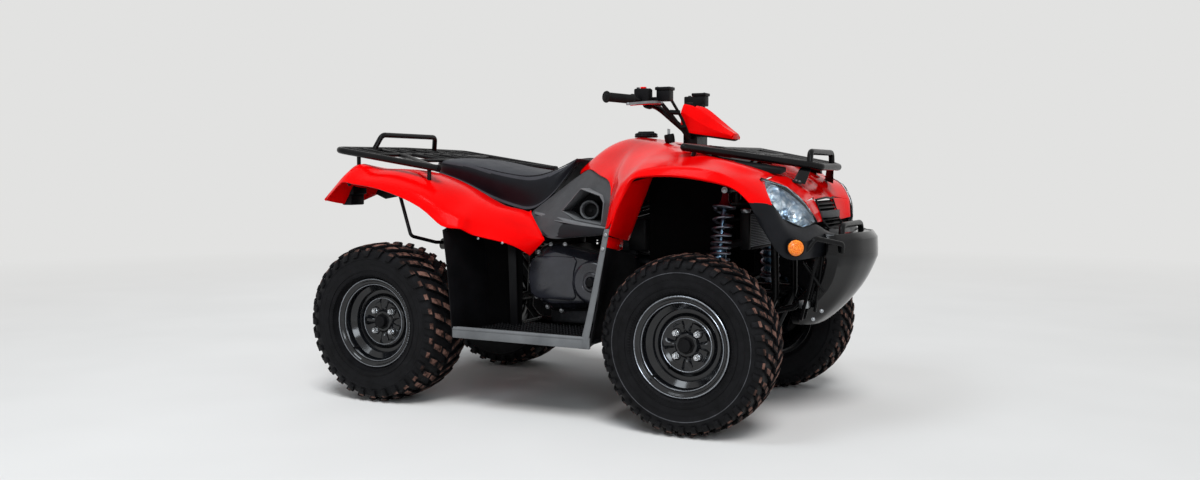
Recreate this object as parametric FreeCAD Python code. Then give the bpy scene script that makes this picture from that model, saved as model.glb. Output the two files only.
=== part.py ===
import FreeCAD, Part
import math
import os

# Utility quad bike, in millimetres. +X is forward, +Y is left, +Z is up.
# The origin lies on the ground under the middle of the vehicle's box.

V = FreeCAD.Vector
os.makedirs("parts", exist_ok=True)

# Wheels and axles
wheelbase = 1290.0
front_axle_x = 543.0
rear_axle_x = front_axle_x - wheelbase
front_track = 962.0
rear_track = 911.0
tyre_radius = 308.0
lug_height = 13.0
tread_sectors = 24
lug_half = 11.0
lug_slant = 15.0
front_tyre_half = 101.0
rear_tyre_half = 121.0
rim_lip_radius = 171.0
rim_seat_radius = 152.0
rim_wall = 6.0
front_rim_half = 90.0
rear_rim_half = 94.0
disc_offset = 34.0
hub_radius = 42.0
stud_circle = 110.0
nut_radius = 9.0
nut_length = 17.0
axle_height = tyre_radius
seat_gap = 0.3

# Front suspension and steering
kingpin_y = 420.0
kingpin_half = 74.0
knuckle_half = 18.0
spindle_radius = 17.0
rear_shaft_radius = 18.5
arm_tube = 12.0
arm_bush = 15.0
lower_arm_z = 262.0
upper_arm_z = 452.0
steer_arm = 88.0
tie_rod_radius = 8.0
tie_rod_z = 345.0
tie_rod_inner_y = 30.0
tie_rod_end = 12.0
pitman_length = 60.0
column_foot_x = front_axle_x - steer_arm + pitman_length
column_foot_z = 380.0
column_top_x = 352.0
column_top_z = 1008.0
column_radius = 13.0
column_hole = 75.0
bar_radius = 11.0
grip_radius = 17.0
grip_length = 118.0
running_gap = 9.0

# Frame
rail_radius = 14.0
lower_rail_y = 112.0
lower_rail_z = 268.0
upper_rail_y = 122.0
upper_rail_z = 742.0
skid_thickness = 4.0
post_radius = 9.0
column_bearing = 0.62

arm_pivot_y = lower_rail_y + rail_radius + arm_bush + seat_gap

# Body panels
panel = 5.0
board_thickness = 4.0
liner_thickness = 3.0
board_top_z = 300.0
board_half_width = 575.0
board_inner_y = 210.0
board_front_x = 190.0
board_rear_x = -362.0
rack_tube = 13.0
rack_bar = 8.0
rack_half_width = 460.0


def vec(point):
    return V(*point)


def mirrored(shape):
    return shape.mirror(V(0, 0, 0), V(0, 1, 0))


def fuse(shapes):
    if len(shapes) == 1:
        return shapes[0]
    return shapes[0].multiFuse(shapes[1:]).removeSplitter()


def pair(shape):
    return Part.makeCompound([shape, mirrored(shape)])


def save(name, shape):
    solids = shape.Solids
    result = solids[0] if len(solids) == 1 else Part.makeCompound(solids)
    result.exportStep("parts/" + name + ".step")
    return result


def block(low, high):
    size = [b - a for a, b in zip(low, high)]
    return Part.makeBox(size[0], size[1], size[2], vec(low))


def rod(start, end, radius):
    a, b = vec(start), vec(end)
    return Part.makeCylinder(radius, (b - a).Length, a, b - a)


def ball(centre, radius):
    return Part.makeSphere(radius, vec(centre))


def plate(points, axis, low, high):
    """A flat plate from an outline in the two other axes, between two places on its axis."""
    order = {"x": lambda p, h: V(h, p[0], p[1]), "y": lambda p, h: V(p[0], h, p[1]),
             "z": lambda p, h: V(p[0], p[1], h)}[axis]
    ring = [order(p, low) for p in points]
    face = Part.Face(Part.makePolygon(ring + [ring[0]]))
    return face.extrude(order((0, 0), high - low))


def tube(points, radius, bend):
    """A round tube along straight runs joined by tangent arcs."""
    pts = [vec(p) for p in points]
    edges = []
    here = pts[0]
    for i in range(1, len(pts) - 1):
        back = (pts[i - 1] - pts[i]).normalize()
        ahead = (pts[i + 1] - pts[i]).normalize()
        turn = math.pi - back.getAngle(ahead)
        room = 0.48 * min((pts[i - 1] - pts[i]).Length, (pts[i + 1] - pts[i]).Length)
        r = min(bend, room / math.tan(turn / 2))
        cut = r * math.tan(turn / 2)
        a = pts[i] + back * cut
        b = pts[i] + ahead * cut
        middle = (back + ahead).normalize()
        centre = pts[i] + middle * (r / math.cos(turn / 2))
        crown = centre - middle * r
        edges.append(Part.LineSegment(here, a).toShape())
        edges.append(Part.Arc(a, crown, b).toShape())
        here = b
    edges.append(Part.LineSegment(here, pts[-1]).toShape())
    wire = Part.Wire(edges)
    ring = Part.Wire([Part.Circle(pts[0], pts[1] - pts[0], radius).toShape()])
    return wire.makePipeShell([ring], True, True, 2)


def facets(points, triangles):
    faces = []
    for a, b, c in triangles:
        p, q, r = points[a], points[b], points[c]
        if (q - p).cross(r - p).Length > 1e-3:
            faces.append(Part.Face(Part.makePolygon([p, q, r, p])))
    solid = Part.makeSolid(Part.makeShell(faces))
    if solid.Volume < 0:
        solid.reverse()
    return solid.removeSplitter()


def sheet(rows, thickness):
    """A bent panel: rows of 3-D points for its outer face, and its thickness behind them."""
    n, m = len(rows), len(rows[0])
    outer = [vec(p) for row in rows for p in row]
    quads = [(i * m + j, i * m + j + 1, (i + 1) * m + j + 1, (i + 1) * m + j)
             for i in range(n - 1) for j in range(m - 1)]
    normals = [V(0, 0, 0) for _ in outer]
    for a, b, c, d in quads:
        normal = (outer[c] - outer[a]).cross(outer[d] - outer[b])
        if normal.Length > 1e-6:
            normal.normalize()
        for k in (a, b, c, d):
            normals[k] = normals[k] + normal
    for p, q in zip(outer, normals):
        if abs(p.y) < 1e-6:
            q.y = 0
    inner = [p - q.normalize() * thickness for p, q in zip(outer, normals)]
    size = len(outer)
    tris = []
    for a, b, c, d in quads:
        tris += [(a, b, c), (a, c, d), (size + a, size + c, size + b), (size + a, size + d, size + c)]
    edge = [j for j in range(m)] + [i * m + m - 1 for i in range(1, n)]
    edge += [(n - 1) * m + j for j in range(m - 2, -1, -1)] + [i * m for i in range(n - 2, 0, -1)]
    for a, b in zip(edge, edge[1:] + edge[:1]):
        tris += [(b, a, size + a), (b, size + a, size + b)]
    return facets(outer + inner, tris)


def skin(rings):
    """A closed solid through rings of 3-D points, with flat ends."""
    n, m = len(rings), len(rings[0])
    pts = [vec(p) for ring in rings for p in ring]
    tris = []
    for i in range(n - 1):
        for j in range(m):
            k = (j + 1) % m
            a, b, c, d = i * m + j, i * m + k, (i + 1) * m + k, (i + 1) * m + j
            tris += [(a, b, c), (a, c, d)]
    for j in range(1, m - 1):
        tris += [(0, j + 1, j), ((n - 1) * m, (n - 1) * m + j, (n - 1) * m + j + 1)]
    return facets(pts, tris)


def span_z(shape, x, y):
    """Lowest and highest place where an upright line meets a shape."""
    line = Part.LineSegment(V(x, y, 0), V(x, y, 2000)).toShape().common(shape)
    heights = [v.Z for v in line.Vertexes]
    return min(heights), max(heights)


def largest(shape):
    return max(shape.Solids, key=lambda solid: solid.Volume)


def halves(ring):
    """A ring of (x, y, z) points on the right side, closed by its mirror image."""
    return ring + [(x, -y, z) for x, y, z in reversed(ring)]


def turned(profile, centre, side):
    """A profile of (axial, radial) points turned round a wheel's axis; side +1 is the left."""
    ring = [V(centre[0], centre[1] + side * a, centre[2] + r) for a, r in profile]
    face = Part.Face(Part.makePolygon(ring + [ring[0]]))
    return face.revolve(vec(centre), V(0, 1, 0), 360)


def on_wheel(centre, sector, along, across, radius):
    """A point of a wheel: its flat sector counted from straight down, then along, across and out from the axle."""
    turn = 2 * math.pi * sector / tread_sectors
    return (centre[0] + radius * math.sin(turn) + along * math.cos(turn), centre[1] + across,
            centre[2] - radius * math.cos(turn) + along * math.sin(turn))


def lug(centre, half, sector, side):
    """A slanted tread block inside one flat sector, from near the middle over the shoulder."""
    rings = []
    for ends in (((10, 288), (half - 2, 250)), ((10, tyre_radius), (half - 20, tyre_radius))):
        corners = []
        for (across, radius), edges in zip(ends, ((-1, 1), (1, -1))):
            middle = lug_slant * ((across - 10) / (half - 12) * 2 - 1)
            for edge in edges:
                corners.append(on_wheel(centre, sector, middle + edge * lug_half, side * across, radius))
        rings.append(corners)
    return skin(rings)


def tyre(centre, half, rim_half):
    seat = rim_half - rim_wall - seat_gap
    bead = (rim_seat_radius + seat_gap) / math.cos(math.pi / tread_sectors)
    crown = tyre_radius - lug_height
    right = [(seat, bead), (seat, rim_lip_radius + 4), (half, 208), (half - 8, 276), (half - 40, crown)]
    inside = [(seat - 14, bead), (half - 28, 252)]
    section = right + [(-a, r) for a, r in reversed(right)] + [(-a, r) for a, r in inside] + list(reversed(inside))
    points = []
    for sector in range(tread_sectors):
        points += [vec(on_wheel(centre, sector + 0.5, 0, a, r)) for a, r in section]
    m = len(section)
    tris = []
    for i in range(tread_sectors):
        for j in range(m):
            a, b = i * m + j, i * m + (j + 1) % m
            c, d = (b + m) % len(points), (a + m) % len(points)
            tris += [(a, b, c), (a, c, d)]
    lugs = [lug(centre, half, sector, 1 if sector % 2 else -1) for sector in range(tread_sectors)]
    return fuse([facets(points, tris)] + lugs)


def rim(centre, half, side, shaft):
    lip = rim_lip_radius
    seat = rim_seat_radius
    wall = rim_wall
    well = seat - 24
    disc = disc_offset
    profile = [(half, lip), (half - wall, lip), (half - wall, seat), (half - 40, seat),
               (half - 56, well), (18 - half, well), (wall - half + 6, seat), (wall - half, seat),
               (wall - half, lip), (-half, lip), (-half, seat - 3), (14 - half, well - wall),
               (disc - 16, well - wall), (disc - 12, 96), (disc - 6, 88), (disc - 6, hub_radius),
               (-4, hub_radius), (-4, shaft + seat_gap), (disc + 4, shaft + seat_gap),
               (disc + 4, hub_radius - 8), (disc, hub_radius - 6), (disc, 84), (disc - 8, 104),
               (disc - 6, well - wall), (half - 52, well - wall), (half - 36, seat - wall),
               (half - 8, seat - wall), (half, seat - wall + 4)]
    return turned(profile, centre, side)


def wheel(place, centre, rim_half, side, shaft):
    shape = rim(centre, rim_half, side, shaft)
    nuts = []
    for i in range(4):
        angle = math.pi / 4 + i * math.pi / 2
        x = centre[0] + stud_circle / 2 * math.cos(angle)
        z = centre[2] + stud_circle / 2 * math.sin(angle)
        y = centre[1] + side * (disc_offset - 1)
        nuts.append(rod((x, y, z), (x, y + side * nut_length, z), nut_radius))
    cap_y = centre[1] + side * (disc_offset + 4)
    nuts.append(rod((centre[0], cap_y, centre[2]), (centre[0], cap_y + side * 24, centre[2]), hub_radius - 10))
    save("rim_" + place, fuse([shape] + nuts))


def make_wheels():
    for axle, x, track, half, rim_half, shaft in (
            ("front", front_axle_x, front_track, front_tyre_half, front_rim_half, spindle_radius),
            ("rear", rear_axle_x, rear_track, rear_tyre_half, rear_rim_half, rear_shaft_radius)):
        for side, word in ((-1, "right"), (1, "left")):
            wheel(axle + "_" + word, (x, side * track / 2, axle_height), rim_half, side, shaft)
        right = tyre((x, -track / 2, axle_height), half, rim_half)
        save("tyre_" + axle + "_right", right)
        save("tyre_" + axle + "_left", mirrored(right))


def make_knuckle():
    x, y, z = front_axle_x, -kingpin_y, axle_height
    post = block((x - 20, y - knuckle_half, z - kingpin_half), (x + 20, y + knuckle_half, z + kingpin_half))
    hub_end = -front_track / 2 - disc_offset + 2
    spindle = rod((x, y, z), (x, hub_end, z), spindle_radius)
    collar = rod((x, y, z), (x, y - knuckle_half - 10, z), 34)
    arm = plate([(x, y + knuckle_half), (x, y), (x - steer_arm - 12, y + 12), (x - steer_arm - 12, y + 36)],
                "z", tie_rod_z - 20, tie_rod_z - 9 - seat_gap)
    shape = fuse([post, spindle, collar, arm])
    save("knuckle_right", shape)
    save("knuckle_left", mirrored(shape))


def make_tie_rods():
    x, y = front_axle_x - steer_arm, -kingpin_y + 24
    shaft = rod((x, y, tie_rod_z), (x, -tie_rod_inner_y, tie_rod_z), tie_rod_radius)
    end = rod((x, y, tie_rod_z - 9), (x, y, tie_rod_z + tie_rod_end), 14)
    inner_end = rod((x, -tie_rod_inner_y, tie_rod_z - 9), (x, -tie_rod_inner_y, tie_rod_z + tie_rod_end), 12)
    shape = fuse([shaft, end, inner_end])
    save("tie_rod_right", shape)
    save("tie_rod_left", mirrored(shape))


shock_top = (576, -240, 826)
shock_foot = (562, -322, 345)
shock_eye_half = 10.0


def make_front_arms():
    x, z = front_axle_x, axle_height
    low_ball = (x, -kingpin_y, z - kingpin_half - 22)
    up_ball = (x, -kingpin_y, z + kingpin_half + 20)
    low_z, up_z = lower_arm_z, upper_arm_z
    pieces = [ball(low_ball, 15), rod(low_ball, (x, -kingpin_y, z - kingpin_half - seat_gap), 8),
              rod((x + 46, -250, low_z - 16), (x - 46, -250, low_z - 16), arm_tube - 2)]
    for reach in (74, -74):
        pieces.append(rod((x + reach, -arm_pivot_y, low_z), low_ball, arm_tube + 1))
        pieces.append(rod((x + reach - 26, -arm_pivot_y, low_z), (x + reach + 26, -arm_pivot_y, low_z), arm_bush))
    pieces.append(plate([(x + 22, 250), (x + 36, 250), (x + 36, 332), (x + 34, 352), (x + 6, 352), (x + 8, 338),
                         (x + 22, 332)], "y", -340, shock_foot[1] - shock_eye_half - seat_gap))
    lower = fuse(pieces)
    legs = [ball(up_ball, 15), rod((x, -kingpin_y, z + kingpin_half + seat_gap), up_ball, 8)]
    for reach, knee in ((90, 68), (-70, -58)):
        legs.append(tube([(x + reach, -arm_pivot_y, up_z), (x + knee, -335, up_z - 48), up_ball], arm_tube - 1, 40))
        legs.append(rod((x + reach - 26, -arm_pivot_y, up_z), (x + reach + 26, -arm_pivot_y, up_z), arm_bush))
    upper = fuse(legs)
    both = Part.makeCompound([lower, upper])
    save("front_arms", Part.makeCompound(both.Solids + mirrored(both).Solids))


def make_front_shocks():
    top, foot = vec(shock_top), vec(shock_foot)
    line = (foot - top).normalize()
    body = rod(top + line * 24, top + line * 210, 13)
    lower_body = rod(top + line * 200, foot - line * 30, 22)
    cup_top = rod(top + line * 30, top + line * 40, 40)
    cup_low = rod(top + line * 350, top + line * 360, 40)
    rings = [Part.makeTorus(34, 5, top + line * d, line) for d in range(50, 350, 28)]
    spine = rod(top + line * 36, top + line * 352, 30)
    stem = rod(top, foot, 8)
    eye = rod(foot + V(0, shock_eye_half, 0), foot - V(0, shock_eye_half, 0), 14)
    top_eye = rod(top + V(0, shock_eye_half, 0), top - V(0, shock_eye_half, 0), 15)
    shape = fuse([body, lower_body, stem, cup_top, cup_low, spine, eye, top_eye] + rings)
    save("front_shocks", pair(shape))


def make_front_drive():
    x = front_axle_x - 10
    ear_y = lower_rail_y - rail_radius - seat_gap
    case = fuse([rod((x, -74, axle_height), (x, 74, axle_height), 46),
                 rod((x, 0, axle_height - 4), (x - 110, 0, axle_height - 4), 24),
                 rod((x, -ear_y, lower_rail_z), (x, ear_y, lower_rail_z), 9)])
    shaft_end = -kingpin_y + 56
    shaft = fuse([rod((x, -70, axle_height), (front_axle_x, shaft_end, axle_height), 11),
                  Part.makeCone(26, 18, 60, V(x, -72, axle_height), V(0, -1, 0)),
                  Part.makeCone(15, 22, 40, V(front_axle_x, shaft_end + 40, axle_height), V(0, -1, 0))])
    save("front_drive", fuse([case, shaft, mirrored(shaft)]))


def column_point(share):
    return (column_foot_x + (column_top_x - column_foot_x) * share, 0,
            column_foot_z + (column_top_z - column_foot_z) * share)


bar_points = [(372, 0, 1022), (372, -58, 1022), (262, -118, 1130), (246, -270, 1152), (184, -400, 1157)]


def bar_clamp(gap):
    low = (column_top_x - 18 - gap, -52 - gap, column_top_z - 16 - gap)
    return block(low, (bar_points[0][0] + 18 + gap, 52 + gap, column_top_z + 36 + gap))


pitman_z = tie_rod_z + tie_rod_end + running_gap


def make_handlebar():
    right = tube(bar_points, bar_radius, 45)
    column = rod(column_point(0), column_point(1), column_radius)
    pitman = plate([(column_foot_x + 20, -16), (column_foot_x + 20, 16),
                    (front_axle_x - steer_arm - 14, tie_rod_inner_y + 14),
                    (front_axle_x - steer_arm - 14, -tie_rod_inner_y - 14)],
                   "z", pitman_z, pitman_z + 10)
    foot = rod(column_point(0), (column_foot_x, 0, pitman_z), column_radius)
    save("handlebar", fuse([right, mirrored(right), column, bar_clamp(0), pitman, foot]))


def make_grips():
    end, knee = vec(bar_points[-1]), vec(bar_points[-2])
    line = (knee - end).normalize()
    start = end - line * 6
    shape = fuse([rod(start, end + line * grip_length, grip_radius), rod(start, start + line * 8, grip_radius + 4)])
    bar = rod(end - line * 0.01, end + line * 200, bar_radius + 0.1)
    save("grips", pair(shape.cut(bar)))


def make_controls():
    knee = vec(bar_points[-2])
    line = (vec(bar_points[-1]) - knee).normalize()
    pod = block((244 - 24, -262, 1134), (244 + 34, -212, 1188))
    cylinder = block((254 + 10, -206, 1150), (254 + 68, -150, 1204))
    lever_root = (292, -176, 1150)
    lever = tube([lever_root, (300, -250, 1146), (238, -404, 1136)], 6, 20)
    clamp = block((240, -206, 1124), (300, -176, 1160))
    hole = tube(bar_points, bar_radius + 0.2, 45)
    shape = fuse([pod, cylinder, lever, clamp]).cut(hole)
    save("controls", pair(shape))


def make_pod():
    sections = [
        [(0, 1148), (-70, 1144), (-100, 1112), (-104, 1050), (-60, 1040), (0, 1040)],
        [(0, 1140), (-66, 1132), (-98, 1100), (-100, 1046), (-56, 1036), (0, 1036)],
        [(0, 1092), (-54, 1084), (-84, 1062), (-84, 1030), (-50, 1022), (0, 1022)],
        [(0, 1032), (-30, 1030), (-46, 1024), (-44, 1014), (-26, 1010), (0, 1010)]]
    places = [338, 372, 440, 526]
    rings = []
    for x, ring in zip(places, sections):
        rings.append(halves([(x, y, z) for y, z in ring[1:-1]]))
    bars = tube(bar_points, bar_radius + seat_gap, 45)
    save("handlebar_pod", skin(rings).cut(fuse([bars, mirrored(bars), bar_clamp(seat_gap)])))


def post_under(cover, x, y, low):
    """An upright post whose top follows the underside of the panel it carries."""
    post = rod((x, y, low), (x, y, span_z(cover, x, y)[0] + post_radius), post_radius)
    return min(post.cut(cover).Solids, key=lambda solid: solid.BoundBox.ZMin)


def make_frame():
    y, z = lower_rail_y, lower_rail_z
    top_y, top_z = upper_rail_y, upper_rail_z
    lower = tube([(-450, -y, z + 60), (-395, -y, z), (640, -y, z), (720, -y, z + 170), (716, -y - 6, top_z)],
                 rail_radius, 60)
    upper = tube([(716, -y - 6, top_z - 20), (704, -top_y, top_z + 34), (250, -top_y, top_z + 30),
                  (20, -top_y, top_z - 30), (-300, -top_y, top_z - 50), (-820, -top_y - 20, top_z + 62)],
                 rail_radius, 70)
    seat_post = tube([(-440, -y, z + 50), (-420, -top_y, top_z - 30)], rail_radius, 10)
    front_post = tube([(402, -y, z), (420, -top_y, top_z + 30)], rail_radius, 10)
    brace = tube([(-400, -y - 2, z + 160), (-700, -top_y - 14, top_z + 36)], rail_radius - 3, 10)
    stay_radius = rail_radius - 2
    stay_z = board_top_z - board_thickness - seat_gap - stay_radius
    board_stay = [tube([(x, -y, z), (x, -y - 70, stay_z), (x, -board_half_width + 40, stay_z)], stay_radius, 40)
                  for x in (150, -300)]
    arm_rail = rod((405, -y, upper_arm_z), (722, -y, upper_arm_z), rail_radius)
    posts = [post_under(cover, x, y, low) for cover, x, y, low in (
        (seat, -560, -top_y - 4, 748), (seat, -317, -top_y, 696), (rear_fender, -780, -70, top_z + 56),
        (front_body, 704, -90, top_z + 30), (front_body, 250, -90, top_z + 30))]
    fender_stay = tube([(-728, -420, 840), (-664, -420, 640), (-610, -330, 612), (-547, -top_y - 3, 600)], 7, 20)
    fender_stay = min(fender_stay.cut(rear_fender).Solids, key=lambda solid: solid.BoundBox.ZMin)
    side = [lower, upper, seat_post, front_post, brace, arm_rail, fender_stay] + board_stay + posts
    beam_end = shock_top[1] + shock_eye_half + seat_gap
    shock_beam = rod((shock_top[0], beam_end, shock_top[2]), (shock_top[0], -beam_end, shock_top[2]), rail_radius)
    cross = []
    for x, cy, cz in ((-380, y, z), (0, y, z), (440, y, z), (620, y, z), (-300, top_y, top_z - 50),
                      (-780, top_y + 18, top_z + 56), (704, top_y, top_z + 30), (250, top_y, top_z + 30),
                      (rear_shock_top_x, top_y + 6, top_z + 2)):
        cross.append(rod((x, -cy, cz), (x, cy, cz), rail_radius - 2))
    beam_posts = [rod((shock_top[0], s * top_y, top_z + 30), (shock_top[0], s * top_y, shock_top[2]), rail_radius)
                  for s in (-1, 1)]
    line = vec(column_point(1)) - vec(column_point(0))
    middle = vec(column_point(column_bearing))
    half = line.normalize() * 16
    ring = rod(middle - half, middle + half, column_radius + 11)
    bearing = fuse([ring, rod((middle.x, -top_y, middle.z), (middle.x, top_y, middle.z), 10)])
    bearing = bearing.cut(rod(middle - half * 2, middle + half * 2, column_radius + seat_gap))
    whole = fuse(side + [mirrored(s) for s in side] + cross + beam_posts + [shock_beam])
    save("frame", fuse([whole, bearing]))


def make_inner_liners():
    """Flat splash panels on the outer side of the upper rails, between the front wheels and the engine."""
    face = -upper_rail_y - rail_radius - seat_gap
    outline = [(234, 560), (300, 500), (555, 500), (555, 880), (480, 905), (340, 935), (234, 935)]
    save("inner_liners", pair(plate(outline, "y", face - liner_thickness, face)))


engine_half = lower_rail_y - rail_radius - 6


def make_engine():
    base = lower_rail_z + rail_radius - 2 + seat_gap
    case = block((-230, -engine_half, base), (210, engine_half, 520))
    barrel = block((-30, -78, 520), (150, 78, 690))
    save("engine", fuse([case, barrel]))


cover_rear = (-78, 492)
cover_front = (88, 481)
cover_outer_y = -330


def stadium(a, b, ra, rb):
    """An outline round two circles that lie side by side, as two discs and the hull between them."""
    length = math.hypot(b[0] - a[0], b[1] - a[1])
    slope = math.atan2(b[1] - a[1], b[0] - a[0])
    lean = math.acos((ra - rb) / length)
    pts = []
    for centre, radius, start, end in ((a, ra, slope + lean, slope + 2 * math.pi - lean),
                                       (b, rb, slope - lean, slope + lean)):
        for share in range(0, 11):
            t = start + (end - start) * share / 10
            pts.append((centre[0] + radius * math.cos(t), centre[1] + radius * math.sin(t)))
    return pts


def make_belt_cover():
    inner_y = -engine_half - seat_gap
    base = plate(stadium(cover_rear, cover_front, 130, 108), "y", cover_outer_y + 40, inner_y)
    step = plate(stadium(cover_rear, cover_front, 112, 92), "y", cover_outer_y + 14, cover_outer_y + 40)
    boss = rod((cover_front[0], cover_outer_y + 14, cover_front[1]),
               (cover_front[0], cover_outer_y - 4, cover_front[1]), 77)
    save("belt_cover", fuse([base, step, boss]))


def make_exhaust():
    can = rod((-560, 200, 520), (-900, 208, 560), 62)
    tail = rod((-890, 208, 559), (-960, 210, 566), 24)
    pipe = tube([(150 + seat_gap, 40, 620), (190, 40, 620), (200, 150, 600), (120, 190, 560), (-300, 190, 520), (-580, 198, 522)],
                19, 60)
    save("exhaust", fuse([can, tail, pipe]))


def make_radiator():
    core = block((614, -200, 612), (650, 200, 745))
    top = upper_rail_z + 33 - rail_radius - seat_gap
    pins = [rod((632, side * upper_rail_y, 740), (632, side * upper_rail_y, top), 7) for side in (-1, 1)]
    save("radiator", fuse([core] + pins))


def make_skid():
    y = lower_rail_y
    low = lower_rail_z - rail_radius - seat_gap
    flat = block((-380, -y, low - skid_thickness), (640, y, low))
    save("skid_plate", flat)


def make_rear_axle():
    end = rear_track / 2 - 4 + disc_offset
    shaft = rod((rear_axle_x, -end, axle_height), (rear_axle_x, end, axle_height), rear_shaft_radius)
    flanges = []
    for side in (-1, 1):
        y = side * (rear_track / 2 - 4 - seat_gap)
        flanges.append(rod((rear_axle_x, y, axle_height), (rear_axle_x, y - side * 14, axle_height), 60))
    disc = rod((rear_axle_x, 150, axle_height), (rear_axle_x, 155, axle_height), 95)
    save("rear_axle", fuse([shaft] + flanges + [disc]))


swing_pivot_x = -437.0
hitch_hole_radius = 9.5
rear_shock_top_x = -520.0
rear_shock_foot = (rear_axle_x + 70, axle_height + 112)


def make_swing_arm():
    x, z = rear_axle_x, axle_height
    housing = rod((x, -128, z), (x, 128, z), 40)
    case = rod((x + 8, -52, z), (x + 8, 52, z), 84)
    drive = rod((x + 40, 0, z + 8), (swing_pivot_x - 30, 0, z + 48), 34)
    left = tube([(x, 88, z), (-600, 84, z + 10), (swing_pivot_x, 72, z + 60)], 16, 40)
    right = mirrored(left)
    pivot_y = lower_rail_y - rail_radius - seat_gap
    pivot = rod((swing_pivot_x, -pivot_y, z + 60), (swing_pivot_x, pivot_y, z + 60), 18)
    hitch = plate([(x - 30, -45), (x - 30, 45), (x - 190, 30), (x - 190, -30)], "z", z - 34, z - 26)
    hitch_hole = rod((x - 160, 0, z - 60), (x - 160, 0, z), hitch_hole_radius)
    foot_x, foot_z = rear_shock_foot
    lugs = [plate([(foot_x - 34, z + 40), (foot_x + 34, z + 40), (foot_x + 14, foot_z + 14), (foot_x - 14, foot_z + 14)],
                  "y", side * (shock_eye_half + seat_gap + 7), side * (shock_eye_half + seat_gap)) for side in (-1, 1)]
    bore = rod((x, -200, z), (x, 200, z), rear_shaft_radius + seat_gap)
    save("swing_arm", fuse([housing, case, drive, left, right, pivot, hitch] + lugs).cut(hitch_hole).cut(bore))


def make_rear_shock():
    top = V(rear_shock_top_x, 0, upper_rail_z + 2 - rail_radius + 2 - 15 - seat_gap)
    foot = V(rear_shock_foot[0], 0, rear_shock_foot[1])
    line = (foot - top).normalize()
    length = (foot - top).Length
    rings = [Part.makeTorus(35, 6, top + line * d, line) for d in range(44, int(length) - 60, 26)]
    spine = rod(top + line * 28, foot - line * 40, 32)
    stem = rod(top, foot, 8)
    eyes = [rod(end - V(0, shock_eye_half, 0), end + V(0, shock_eye_half, 0), 15) for end in (top, foot)]
    save("rear_shock", fuse([spine, stem] + eyes + rings))


seat_sections = [(-745, 935, 894, 118), (-690, 945, 880, 168), (-560, 938, 838, 186), (-440, 915, 786, 196),
                 (-317, 897, 748, 200), (-240, 892, 744, 196), (-160, 906, 806, 176), (-84, 944, 930, 128)]


def make_seat():
    rings = []
    for x, top, low, half in seat_sections:
        drop = top - low
        rings.append(halves([(x, -half * 0.55, top), (x, -half * 0.88, top - drop * 0.16), (x, -half, top - drop * 0.5),
                             (x, -half * 0.94, low)]))
    return save("seat", skin(rings))


rear_rows = [
    [(-966, -240, 800), (-972, -330, 775), (-985, -400, 760), (-1010, -505, 778), (-1012, -515, 782), (-1008, -518, 776)],
    [(-905, -130, 866), (-900, -300, 896), (-890, -420, 914), (-885, -475, 918), (-890, -535, 880), (-893, -556, 850)],
    [(-800, -130, 868), (-800, -280, 894), (-800, -400, 903), (-800, -480, 892), (-812, -548, 862), (-815, -566, 842)],
    [(-690, -130, 856), (-680, -215, 880), (-680, -380, 884), (-690, -470, 872), (-700, -548, 842), (-705, -566, 826)],
    [(-500, -208, 786), (-500, -250, 828), (-505, -370, 836), (-510, -460, 825), (-513, -545, 798), (-514, -566, 760)],
    [(-400, -205, 762), (-410, -240, 790), (-415, -340, 806), (-420, -440, 790), (-424, -530, 745), (-424, -562, 690)],
    [(-300, -210, 725), (-310, -250, 752), (-322, -330, 762), (-330, -400, 745), (-340, -480, 715), (-338, -535, 675)],
    [(-214, -262, 730), (-212, -290, 738), (-206, -340, 728), (-202, -390, 700), (-200, -430, 665), (-199, -458, 628)],
    [(-130, -330, 668), (-124, -342, 668), (-118, -350, 660), (-112, -360, 650), (-108, -366, 640), (-106, -370, 628)]]


def make_rear_fender():
    side = sheet(rear_rows, panel)
    deck = sheet([[(x, -131, z), (x, 0, z), (x, 131, z)] for x, z in
                  ((-905, 866), (-800, 868), (-690, 856))], panel)
    return save("rear_fender", fuse([side, mirrored(side), deck]))


front_rows = [
    [(-66, 0, 930), (-66, -55, 925), (-68, -85, 915), (-70, -104, 904), (-72, -112, 893), (-74, -118, 882)],
    [(20, 0, 990), (20, -80, 982), (16, -120, 962), (14, -150, 938), (12, -172, 918), (10, -192, 898)],
    [(112, 0, 1024), (112, -100, 1013), (110, -160, 985), (108, -215, 940), (106, -262, 900), (104, -300, 864)],
    [(200, 0, 1024), (200, -150, 1010), (200, -230, 975), (200, -310, 915), (200, -360, 870), (200, -404, 826)],
    [(290, 0, 1002), (290, -195, 1000), (288, -320, 955), (284, -440, 905), (276, -536, 860), (268, -570, 815)],
    [(340, 0, 985), (340, -222, 990), (338, -345, 955), (336, -455, 918), (336, -540, 892), (336, -576, 853)],
    [(402, 0, 960), (402, -280, 970), (402, -390, 945), (400, -480, 924), (396, -546, 902), (392, -580, 873)],
    [(480, 0, 940), (480, -320, 957), (480, -420, 938), (480, -500, 920), (480, -550, 903), (480, -582, 880)],
    [(580, 0, 920), (580, -375, 942), (580, -450, 925), (578, -510, 910), (574, -552, 897), (570, -582, 873)],
    [(667, 0, 902), (667, -395, 922), (667, -460, 905), (664, -515, 892), (660, -550, 878), (657, -580, 858)],
    [(735, 0, 882), (735, -400, 900), (738, -455, 880), (736, -505, 862), (730, -545, 852), (726, -574, 838)],
    [(770, 0, 868), (771, -110, 871), (772, -260, 876), (776, -426, 864), (833, -502, 783), (776, -570, 792)]]


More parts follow.
